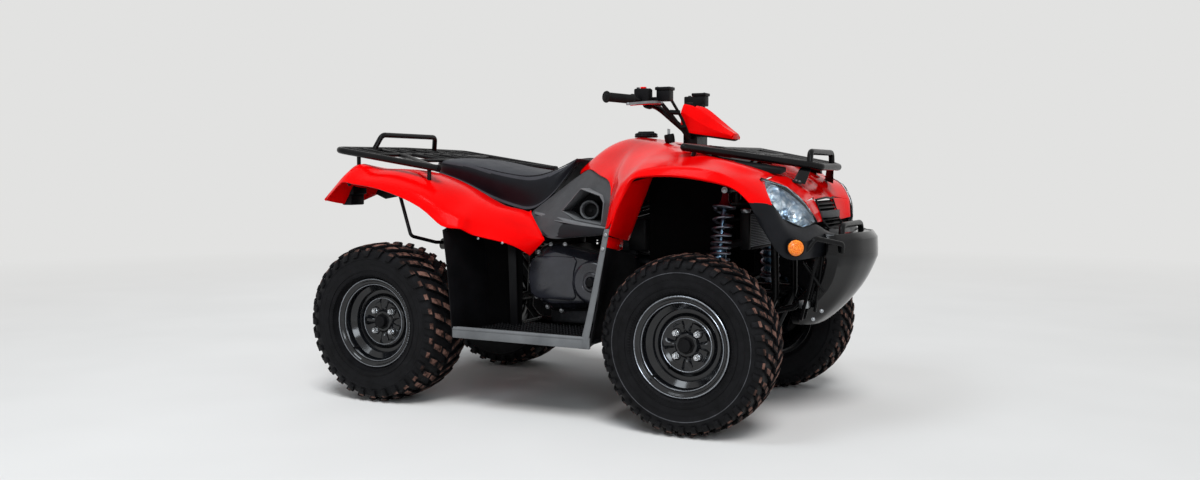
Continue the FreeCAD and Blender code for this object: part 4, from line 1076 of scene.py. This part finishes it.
def make_bumper():
    """A pressed bumper with a raised centre and returned side edges."""
    rows = [list(reversed(row)) for row in (bumper_returned, bumper_outer, bumper_ridge, bumper_centre)]
    shell = patch(past_middle(rows), 6, 2, {1: 1, 2: 0.95, 4: 0.95, 5: 1}, {3: 0.9, 4: 0.9}, look=GLOSS_BLACK,
                  edge=1.2)
    lid = slab([(926, -214, 676), (960, -219, 675), (1004, -134, 676), (1022, 0, 676), (1004, 134, 676),
                (960, 219, 675), (926, 214, 676), (952, 126, 676), (960, 0, 676), (952, -126, 676)],
               (0, 0, -4), 1.2, GLOSS_BLACK)
    ends = bolts([(872, -150, 372), (905, -160, 404)], (0.3, -1, 0), 5)
    show(join([shell, lid] + with_mirror([ends])), "bumper", smooth=30)


def make_guard():
    """The looped guard under the nose with its two flat stays, and a plated bracket."""
    hoop = tube([(694, -137, 383), (800, -137, 410), (946, -134, 575), (966, -150, 640), (966, -130, 704),
                 (966, 0, 704)], 11, 30, look=STEEL)
    loop = tube([(880, -336, 606), (904, -344, 632), (928, -332, 668), (996, -240, 646), (990, -222, 618)], 9,
                18, look=STEEL)
    stays = [slab([(902, y, 600), (914, y, 598), (850, y + 20, 372), (838, y + 20, 376)], (0, 5, 0), 1.2,
                  STEEL) for y in (-232, -190)]
    tie = rod((922, -214, 600), (878, -150, 400), 6, look=STEEL)
    clip = block((838, -214, 416), (870, -182, 442), 2, ZINC)
    brace = rod((854, -222, 579), (916, -172, 474), 7, look=STEEL)
    show(join(with_mirror([hoop, loop, tie, clip, brace] + stays)), "bumper_guard")


def make_indicators():
    """A ribbed amber disc in a black bezel."""
    centre, way = (890, -428, 641), (0.55, -0.83, 0.03)
    bezel = turned([(-30, 20), (-30, 27), (0, 31), (4, 30), (4, 27), (-4, 26)], centre, way, 48, 0.8,
                   BLACK_PP)
    dome = turned([(-4, 27), (2, 27), (6, 24), (9, 16), (10, 0), (-4, 0)], centre, way, 48, look=AMBER)
    rings = [turned([(h, r - 1.2), (h + 1.6, r), (h, r + 1.2)], centre, way, 40, look=AMBER)
             for r, h in ((8, 9.6), (14, 9), (20, 7.4))]
    show(pair([dome, bezel] + rings), "front_indicators")


# Engine, cover and cooling

cover_rear = (-78, 492)
cover_front = (88, 481)
cover_face = -330


def stadium(rear, front, steps=14):
    """An outline round the belt cover's two discs, by their radii."""
    a, b = cover_rear, cover_front
    slope = math.atan2(b[1] - a[1], b[0] - a[0])
    lean = math.acos((rear - front) / math.hypot(b[0] - a[0], b[1] - a[1]))
    places = []
    for centre, radius, start, end in ((a, rear, slope + lean, slope + 2 * math.pi - lean),
                                       (b, front, slope - lean, slope + lean)):
        for step in range(steps + 1):
            turn = start + (end - start) * step / steps
            places.append((centre[0] + radius * math.cos(turn), centre[1] + radius * math.sin(turn)))
    return places


def make_belt_cover():
    """A bolted flange, a domed body with a blank raised pad, and a round boss with rings."""
    rim = plate(stadium(133, 110), "y", cover_face + 62, cover_face + 50, 3, BLACK_PP)
    skirt = plate(stadium(124, 101), "y", -92, cover_face + 52, 0, BLACK_PP)
    levels = [(125, 102, 50), (120, 97, 40), (98, 76, 11), (94, 72, 8), (60, 46, 8), (2, 1, 7)]
    # The dome, pad and boss take the lifted grey of the painted sheen
    dome = patch([[(x, cover_face + depth, z) for x, z in stadium(rear, front) + stadium(rear, front)[:1]]
                  for rear, front, depth in levels], 0, 1, {1: 0.6, 2: 0.7, 3: 0.5}, edge=0, look=COVER_WITH_PAINTED_SHEEN)
    pad = plate([(-176, 430), (-186, 492), (-176, 552), (-150, 574), (10, 574), (22, 560), (10, 520),
                 (6, 470), (18, 424), (4, 410), (-150, 412)], "y", cover_face + 16, cover_face - 1, 7,
                COVER_WITH_PAINTED_SHEEN)
    boss_centre = (cover_front[0], cover_face + 14, cover_front[1])
    boss = turned([(0, 84), (14, 80), (20, 72), (22, 66), (21, 40), (19, 37), (21, 34), (24, 32), (25, 24),
                   (20, 20), (20, 0), (0, 0)], boss_centre, (0, -1, 0), 72, 1.0, COVER_WITH_PAINTED_SHEEN)
    cap = turned([(30, 0), (38, 0), (38, 12), (36, 16), (30, 17)], boss_centre,
                 (0, -1, 0), 40, 0.8, BLACK_PP)
    places = [(x, cover_face + 50, z) for x, z in stadium(127, 104, 7)]
    heads = bolts(places, (0, -1, 0), 6.5)
    tabs = paint(join([rod((x, cover_face + 62, z), (x, cover_face + 49.5, z), 10, sides=20, edge=1)
                       for x, z in stadium(129, 106, 7)]), BLACK_PP)
    show(join([dome, rim, skirt, pad, boss, cap, heads, tabs]), "belt_cover", smooth=32)


def make_engine():
    """Crankcase with ribs and a side cover, a finned barrel, the starter, and the intake with its boxes."""
    fin_pitch, bolt_circle, lid_x, lid_z = 14, 88, 70, 400
    case = block((-226, -90, 282), (206, 88, 516), 14, DARK_ALLOY)
    barrel = block((-24, -66, 500), (144, 66, 684), 6, DARK_ALLOY)
    fins = [block((-34 - (i % 2) * 4, -80, 530 + i * fin_pitch), (154 + (i % 2) * 4, 80, 535 + i * fin_pitch),
                  1, DARK_ALLOY) for i in range(11)]
    lid = block((-14, -50, 684), (128, 50, 690), 3, DARK_ALLOY)
    ribs = [block((-210, 84, 300 + i * 30), (190, 92, 305 + i * 30), 1, DARK_ALLOY) for i in range(7)]
    left = turned([(0, 96), (14, 94), (22, 84), (26, 60), (30, 56), (30, 0), (0, 0)], (lid_x, 86, lid_z),
                  (0, 1, 0), 64, 2, DARK_ALLOY)
    left_rear = turned([(0, 60), (10, 58), (14, 50), (16, 0), (0, 0)], (-130, 86, 410), (0, 1, 0), 48, 2,
                       DARK_ALLOY)
    ring = [(lid_x + bolt_circle * math.cos(i * math.pi / 4), 99,
             lid_z + bolt_circle * math.sin(i * math.pi / 4)) for i in range(8)]
    heads = bolts(ring, (0, 1, 0), 5)
    intake = tube([(-30, 0, 640), (-90, 0, 650), (-150, 0, 690)], 26, 40, look=RUBBER)
    box = block((-260, -80, 640), (-120, 80, 686), 14, BLACK_PP)
    starter = rod((150, -40, 540), (214, -40, 540), 30, look=DARK_ALLOY)
    snorkel = block((-236, -150, 606), (-64, -80, 722), 14, BLACK_PP)
    coil_box = block((140, -130, 590), (214, -40, 712), 8, BLACK_PP)
    show(join([case, barrel, lid, left, left_rear, heads, starter, intake, box, snorkel,
               coil_box] + fins + ribs), "engine")


def make_exhaust():
    """A silencer with rolled ends, straps, a heat shield and a turned-out tail, on a pipe from the head."""
    start, end = (-560, 200, 520), (-900, 208, 560)
    run = tuple(b - a for a, b in zip(start, end))
    length = Vector(run).length
    can = turned([(0, 20), (0, 48), (8, 58), (20, 61), (length - 20, 61), (length - 8, 56), (length, 44),
                  (length, 20)], start, run, 56, 1.5, BLACK_PP)
    straps = [turned([(at, 61), (at, 63.5), (at + 18, 63.5), (at + 18, 61)], start, run, 56, 0.6, ZINC)
              for at in (60, length - 90)]
    tail = turned([(0, 14), (0, 24), (60, 24), (64, 26), (66, 24), (66, 19), (10, 17)], (-890, 208, 559),
                  (-70, 2, 7), 40, 0.8, EXHAUST)
    pipe = tube([(148, 40, 620), (190, 40, 620), (200, 150, 600), (120, 190, 560), (-300, 190, 520),
                 (-580, 198, 522)], 19, 60, look=EXHAUST)
    flange = turned([(-4, 22), (-4, 34), (4, 34), (4, 22)], (160, 40, 620), (1, 0, 0), 32, 1, EXHAUST)
    shield = patch([[(-590, 268, 480), (-730, 272, 500), (-860, 274, 520)],
                    [(-590, 272, 524), (-730, 276, 540), (-860, 278, 556)],
                    [(-590, 260, 566), (-730, 264, 582), (-860, 266, 600)]], 2, 2, look=BLACK_PP, outward=1)
    show(join([can, tail, pipe, flange, shield] + straps), "exhaust")


def make_radiator():
    """A finned core between two tanks, with a fan shroud behind and its hoses."""
    core = block((622, -176, 618), (642, 176, 738), 0.5, DARK_ALLOY)
    tanks = [block((614, s * 176 - 24 * (s < 0), 612), (650, s * 176 + 24 * (s > 0), 745), 6, BLACK_PP)
             for s in (-1, 1)]
    fin_pitch = 6
    fins = [block((641, -176, 622 + i * fin_pitch), (648, 176, 624 + i * fin_pitch), 0, FIN_STOCK)
            for i in range(20)]
    frame_bars = [block((612, -178, z), (652, 178, z + 7), 1.5, BLACK_PP) for z in (612, 738)]
    shroud = turned([(0, 58), (16, 60), (20, 56), (20, 50), (4, 50), (4, 20), (16, 18), (16, 0), (0, 0)],
                    (612, 0, 678), (-1, 0, 0), 48, 1, BLACK_PP)
    pins = [rod((632, s * 122, 744), (632, s * 122, 760), 7, look=STEEL) for s in (-1, 1)]
    cap = turned([(0, 16), (8, 18), (14, 18), (16, 14), (16, 0), (0, 0)], (632, -188, 744), (0, 0, 1), 32, 1,
                 ALLOY)
    hose = tube([(628, -190, 640), (560, -186, 630), (470, -150, 560), (330, -90, 560), (214, -60, 560)], 13,
                smooth=True, look=RUBBER)
    top_hose = tube([(628, 190, 724), (560, 180, 730), (430, 100, 700), (200, 40, 660), (150, 30, 650)], 13,
                    smooth=True, look=RUBBER)
    show(join([core, shroud, cap, hose, top_hose] + tanks + fins + frame_bars + pins), "radiator")


# Suspension

shock_top = (576, -240, 826)
shock_foot = (562, -322, 345)


def coil(start, end, radius, wire, turns):
    """A spring round a line, with its end turns closed up."""
    steps_a_turn, closing = 14, 0.055
    a, b = Vector(start), Vector(end)
    way = (b - a).normalized()
    side = way.orthogonal().normalized()
    other = way.cross(side)
    count = int(turns * steps_a_turn)
    places = []
    for i in range(count + 1):
        share = i / count
        along = share + closing * math.sin(2 * math.pi * share)
        turn = 2 * math.pi * turns * share
        places.append(a + (b - a) * along + (side * math.cos(turn) + other * math.sin(turn)) * radius)
    return tube(places, wire, smooth=True, sides=3, look=SPRING)


def make_front_shocks():
    """Coil-over dampers: maroon top cap, spring, seats, body, rod and rubber eyes."""
    top, foot = Vector(shock_top), Vector(shock_foot)
    way = (foot - top).normalized()

    def at(distance):
        return top + way * distance

    parts = [turned([(-6, 0), (-6, 11), (10, 12), (30, 14), (44, 20), (56, 25), (56, 0)],
                    at(6), way, 32, 1, MAROON),
             turned([(0, 12), (0, 42), (4, 43), (8, 40), (8, 12)], at(58), way, 40, 0.8, SPRING),
             turned([(0, 12), (0, 40), (5, 42), (8, 42), (8, 30), (22, 28), (22, 12)],
                    at(348), way, 40, 0.8, SPRING),
             coil(at(68), at(346), 34, 5.2, 9.5), rod(at(60), at(240), 8, look=DAMPER),
             rod(at(206), at(430), 23, look=DAMPER), rod(at(430), at(466), 19, 16, look=DAMPER),
             turned([(0, 12), (0, 25), (7, 25), (7, 12)], at(330), way, 32, 0.8, ZINC)]
    for end in (top, foot):
        parts.append(turned([(-11, 7), (-11, 13), (-8, 16), (8, 16), (11, 13), (11, 7)], end, (0, 1, 0), 32,
                            0.6, RUBBER))
        parts.append(rod(end - Vector((0, 14, 0)), end + Vector((0, 14, 0)), 6.5, look=ZINC))
        parts.append(bolts([end - Vector((0, 13, 0))], (0, -1, 0), 8))
    show(pair(parts), "front_shocks")


rear_shock_top = (-520, 0, 717)
rear_shock_foot = (-677, 0, 420)


def make_rear_shock():
    top, foot = Vector(rear_shock_top), Vector(rear_shock_foot)
    way = (foot - top).normalized()
    parts = [turned([(0, 12), (0, 42), (8, 42), (8, 12)], top + way * 30, way, 40, 0.8, SPRING),
             turned([(0, 12), (0, 42), (8, 42), (8, 12)], foot - way * 60, way, 40, 0.8, SPRING),
             coil(top + way * 40, foot - way * 62, 35, 6, 8),
             rod(top + way * 20, foot - way * 20, 22, look=DAMPER)]
    for end in (top, foot):
        parts.append(turned([(-10, 6), (-10, 15), (10, 15), (10, 6)], end, (0, 1, 0), 32, 0.8, RUBBER))
        parts.append(rod(end - Vector((0, 12, 0)), end + Vector((0, 12, 0)), 6, look=ZINC))
    show(join(parts), "rear_shock")


def gaiter(start, end, wide, narrow, folds):
    """A pleated rubber boot between two places on a shaft."""
    fold_depth, bore = 5, 6
    length = (Vector(end) - Vector(start)).length
    outer = []
    for i in range(folds * 2 + 1):
        share = i / (folds * 2)
        radius = wide + (narrow - wide) * share
        outer.append((length * share, radius if i % 2 == 0 else radius - fold_depth))
    profile = outer + [(length, bore), (0, bore)]
    return turned(profile, start, tuple(b - a for a, b in zip(start, end)), 32, 0.5, RUBBER)


def make_drive_boots():
    """Boots on the front half shafts, and the bolts of the arms' pivots."""
    x, z = front_axle_x, axle_height
    inner = gaiter((x - 10, -84, z), (x - 6, -150, z), 34, 17, 5)
    outer = gaiter((x, -384, z), (x, -340, z), 26, 16, 4)
    arm_bolts = bolts([(x + s, -143, 262) for s in (-106, 106)], (0, 0, 1), 6)
    finish(pair([inner, outer]), "front_shaft_boots")
    finish(join(with_mirror([arm_bolts])), "arm_pivot_bolts")


# Racks

def make_front_rack():
    """Outer tube, inner rails, cross bars, hoop, brackets, the pads on the fenders and the cowl behind."""
    outer = [(486, -400, 976), (486, -420, 975), (860, -150, 914), (884, -120, 908), (884, 0, 908)]
    side = tube([(486, 0, 972)] + outer, 13, 30, look=STEEL)
    inner = tube([(492, -376, 975), (850, -118, 915), (868, -96, 910), (880, -60, 908)], 8, 30, look=STEEL)
    hoop = tube([(852, -146, 910), (852, -138, 961), (852, 0, 961)], 11, 20, look=STEEL)
    bars = [rod((490, -y, 972), (880, -y * 0.36, 908), 8, look=STEEL) for y in (60, 120, 190, 260)]
    crossing = tube([(620, 0, 951), (620, -290, 954)], 7, look=STEEL)
    bracket = slab([(828, -174, 902), (860, -146, 902), (848, -186, 846), (812, -206, 856)], (-3, 3, 4), 1.5,
                   GLOSS_BLACK)
    foot = slab([(814, -222, 854), (842, -206, 846), (836, -190, 850), (806, -204, 860)], (0, 0, 4), 1.5,
                STEEL)
    heads = bolts([(822, -208, 860), (832, -202, 857)], (0.4, -0.2, 1), 4)
    pad = slab([(640, -345, 926), (652, -318, 930), (790, -216, 908), (784, -262, 898), (720, -324, 908)],
               (0, 0, -18), 4, BLACK_PP)
    rear_stay = tube([(520, -396, 968), (512, -392, 945)], 8, look=STEEL)
    show(pair([side, inner, hoop, bracket, foot, heads, pad, rear_stay, crossing] + bars), "front_rack")
    cowl = patch(both_sides([[(428, 0, 990), (428, -62, 987), (424, -120, 966)],
                             [(500, 0, 968), (500, -70, 964), (500, -128, 944)],
                             [(640, 0, 936), (640, -60, 934), (636, -104, 920)]]), 4, 2, look=SMOKE_BLACK)
    finish(cowl, "deck_cowl")


def make_rear_rack():
    """The rear rack's rails, diagonals, bars and hoop, with its feet on the fender."""
    corner = -460
    side = tube([(-512, corner, 905), (-1001, corner, 980), (-1001, 0, 985)], 13, 50, look=STEEL)
    diagonal = tube([(-512, corner, 905), (-800, -250, 950), (-1001, -170, 982)], 10, 50, look=STEEL)
    hoop = tube([(-1001, -215, 984), (-978, -190, 1046), (-978, 0, 1046)], 11, 30, look=STEEL)
    across = rod((-860, corner, 958), (-860, 0, 962), 8, look=STEEL)
    front_cross = rod((-700, -330, 935), (-700, 0, 940), 7, look=STEEL)
    bars = [rod((-700 if y < 200 else -860, -y, 938 if y < 200 else 960), (-1001, -y, 984), 8, look=STEEL)
            for y in (60, 140, 300, 380)]
    feet = []
    for x, z, low in ((-560, 912, 826), (-900, 964, 908)):
        feet.append(rod((x, -440, z), (x, -440, low), 8, look=STEEL))
        feet.append(rod((x, -440, z), (x, corner, z), 8, look=STEEL))
        feet.append(rod((x, -440, low + 3), (x, -440, low - 2), 19, sides=32, look=STEEL))
    plug = rod((-512, corner, 905), (-500, corner, 903), 14, look=BLACK_PP)
    parts = [side, diagonal, hoop, across, front_cross, plug] + bars + feet
    show(pair(parts), "rear_rack")


# Steering

bar_points = [(372, 0, 1022), (372, -58, 1022), (262, -118, 1130), (246, -270, 1152), (184, -400, 1157)]


def make_grips():
    """Ribbed rubber grips with flanged ends."""
    end, knee = Vector(bar_points[-1]), Vector(bar_points[-2])
    way = (knee - end).normalized()
    profile = [(-6, 12), (-6, 20), (-2, 21.5), (2, 20)]
    rib_pitch = 4.8
    for i in range(22):
        profile += [(5 + i * rib_pitch, 16.8), (7 + i * rib_pitch, 15.6)]
    profile += [(112, 17), (114, 20), (118, 20), (119, 12)]
    grip = turned(profile, end, way, 36, look=GRIP)
    plug = turned([(-8, 0), (-8, 10), (-5, 13), (-2, 13), (-2, 0)], end, way, 32, 0.8, BLACK_PP)
    show(pair([grip, plug]), "grips", "steering")


def make_controls():
    """Switch boxes, brake cylinders with lids and screws, cast levers and their clamps."""
    switch = block((224, -262, 1136), (280, -214, 1194), 5, BLACK_PP)
    seam = block((223, -238, 1135), (281, -236, 1195), 0, GRIP)
    buttons = [rod((236, -248, 1194), (236, -248, 1199), 6, look=GREY_PP),
               block((248, -256, 1194), (268, -244, 1200), 1.5, RED)]
    cylinder = block((286, -200, 1150), (338, -156, 1192), 4, BLACK_PP)
    lid = block((282, -204, 1190), (342, -152, 1202), 3, BLACK_PP)
    arm = block((252, -200, 1134), (296, -164, 1166), 4, BLACK_PP)
    heads = screws([(290, -196, 1202), (334, -160, 1202)], (0, 0, 1), 4)
    clamp = rod((252, -206, 1142), (252, -178, 1140), 18, look=BLACK_PP)
    pivot = rod((296, -182, 1142), (296, -182, 1160), 9, look=ZINC)
    lever = patch([[(300, -184, 1152), (292, -178, 1152)], [(306, -226, 1150), (294, -224, 1150)],
                   [(300, -290, 1146), (287, -286, 1146)], [(280, -345, 1140), (267, -338, 1140)],
                   [(262, -378, 1136), (251, -370, 1136)]], 9, 2, edge=0, look=ALLOY)
    tip = rod((256, -376, 1136), (256, -376, 1127), 7, look=ALLOY)
    underside = patch([[(301, -190, 1142), (291, -184, 1142)], [(300, -286, 1136), (288, -282, 1136)],
                       [(266, -366, 1128), (256, -358, 1128)]], 3, 2, edge=0, look=RED)
    show(pair([switch, arm, seam, cylinder, lid, heads, clamp, pivot, lever, tip, underside] + buttons),
         "controls", "steering")


def make_pod():
    """The red cover over the bar's clamp, with a folded edge, a black base and the dial."""
    rows = []
    for x, valley, crown_y, crown_z, edge_y, edge_z, foot_y, foot_z in (
            (340, 1110, 62, 1146, 92, 1114, 92, 1046), (386, 1102, 58, 1134, 92, 1090, 90, 1034),
            (440, 1078, 46, 1096, 80, 1058, 78, 1026), (500, 1050, 30, 1052, 58, 1034, 54, 1016),
            (526, 1032, 22, 1034, 44, 1022, 40, 1012)):
        rows.append([(x, 0, valley), (x, -crown_y, crown_z), (x, -edge_y, edge_z), (x, -foot_y, foot_z)])
    cover = patch(both_sides(rows), 4, 2, {}, {1: 0.8, 2: 0.6, 3: 0.3, 4: 0.6, 5: 0.8}, look=RED, fits=2)
    nose = slab([(526, -40, 1012), (528, -22, 1034), (528, 22, 1034), (526, 40, 1012)], (-4, 0, 0), 1, RED)
    face = slab([(342, -92, 1046), (342, -92, 1112), (342, -61, 1141), (342, 0, 1107), (342, 61, 1141),
                 (342, 92, 1112), (342, 92, 1046)], (6, 0, 0), 2, BLACK_PP)
    dial_centre, dial_way = (341, 0, 1082), (-1, 0, 0.2)
    dial = turned([(0, 34), (6, 36), (10, 34), (10, 0), (0, 0)], dial_centre, dial_way, 48, 1, BLACK_PP)
    glass = turned([(10, 30), (12, 29), (12.6, 0), (10, 0)], dial_centre, dial_way, 48, look=SMOKE)
    base = patch(both_sides([[(346, 0, 1034), (346, -92, 1040)], [(440, 0, 1020), (440, -78, 1026)],
                             [(520, 0, 1008), (520, -40, 1014)]]), 3, 1, look=BLACK_PP)
    show(join([cover, nose, face, dial, base]), "handlebar_pod", "steering", 32)
    finish(glass, "dial_glass", "steering")


def make_cables():
    """Cables that are clipped to the bar and run down beside the column, and the key switch."""
    runs = []
    for places, size in (([(296, -172, 1144), (304, -166, 1132), (326, -130, 1094), (350, -100, 1047),
                           (366, -76, 1016)], 7),
                         ([(330, -160, 1156), (342, -146, 1128), (358, -108, 1083), (368, -94, 1036),
                           (370, -76, 1020)], 5.5)):
        runs.append(tube(places, size, smooth=True, look=GRIP))
    clips = [rod((344, -108, 1056), (366, -102, 1060), 9, sides=16, look=BLACK_PP),
             rod((318, -146, 1112), (352, -128, 1110), 9, sides=16, look=BLACK_PP)]
    finish(pair(runs + clips), "bar_cables", "steering")
    barrel = turned([(0, 0), (0, 17), (10, 19), (30, 19), (34, 16), (34, 0)], (310, -120, 998),
                    (-0.15, -0.1, 1), 32, 1, BLACK_PP)
    key = slab([(299, -124, 1028), (309, -124, 1028), (310, -124, 1050), (298, -124, 1052)], (0, 3, 0), 1,
               ZINC)
    finish(join([barrel, key]), "key_switch")


def make_fuel_cap():
    """A low ridged cap with a grip bar."""
    cap_x = 156
    cap = turned([(0.3, 44), (5, 46), (8, 42), (15, 41), (18, 38), (18, 0), (0.3, 0)], (cap_x, 0, 1024),
                 (0, 0, 1), 64, 1, BLACK_PP)
    knurl = block((cap_x + 40, -3, 1031), (cap_x + 44, 3, 1039), 0.8)
    knurls = paint(around(knurl, 18, (cap_x, 0, 1040), (0, 0, 1)), BLACK_PP)
    bar = block((cap_x - 32, -9, 1040), (cap_x + 32, 9, 1048), 3, BLACK_PP)
    show(join([cap, knurls, bar]), "fuel_cap")


def make_tail_lights():
    """Rectangular rear lamps in black housings, each with two lens fields, a stem and a chin."""
    housing = block((-996, -428, 800), (-940, -342, 850), 4, BLACK_PP)
    lens = block((-1002, -424, 806), (-994, -346, 846), 2.5, RUBY)
    split = block((-1003, -387, 805), (-993, -384, 847), 0.5, BLACK_PP)
    stem = block((-960, -400, 846), (-930, -360, 885), 4, BLACK_PP)
    chin = block((-1000, -426, 757), (-952, -344, 804), 5, BLACK_PP)
    show(pair([lens, housing, split, stem, chin]), "tail_lights")


make_camera()
make_light()
make_floor()
bpy.context.scene.view_settings.view_transform = "Standard"

plain_looks = {"frame": STEEL, "engine": DARK_ALLOY, "belt_cover": BLACK_PP, "exhaust": EXHAUST,
               "radiator": DARK_ALLOY, "skid_plate": BLACK_PP, "seat": VINYL_TOP, "front_body": RED,
               "nose_panel": RED, "rear_fender": RED, "fuel_cap": BLACK_PP, "headlights": LENS,
               "front_indicators": AMBER, "tail_lights": RUBY, "front_fascia": BLACK_PP,
               "inner_liners": LINER, "bumper": BLACK_PP, "bumper_guard": STEEL, "front_rack": STEEL,
               "rear_rack": STEEL, "footwell_right": BLACK_PP, "footwell_left": BLACK_PP,
               "side_panels": GREY_PP, "front_arms": STEEL, "front_shocks": SPRING, "front_drive": DARK_ALLOY,
               "swing_arm": STEEL, "rear_shock": SPRING, "handlebar": STEEL, "grips": GRIP,
               "controls": BLACK_PP, "handlebar_pod": RED, "knuckle_right": STEEL, "knuckle_left": STEEL,
               "tie_rod_right": ZINC, "tie_rod_left": ZINC, "rear_axle": STEEL}
for place in ("front_right", "front_left", "rear_right", "rear_left"):
    plain_looks["rim_" + place] = ENAMEL
    plain_looks["tyre_" + place] = RUBBER
for name, look in plain_looks.items():
    nodes[name].data.materials.clear()
    nodes[name].data.materials.append(look)

make_wheels()
make_front_body()
make_rear_fender()
make_nose()
make_seat()
make_side_panels()
make_footwells()
make_fascia()
make_headlights()
make_bumper()
make_guard()
make_indicators()
make_belt_cover()
make_engine()
make_exhaust()
make_radiator()
make_front_shocks()
make_rear_shock()
make_drive_boots()
make_front_rack()
make_rear_rack()
make_grips()
make_controls()
make_pod()
make_cables()
make_fuel_cap()
make_tail_lights()
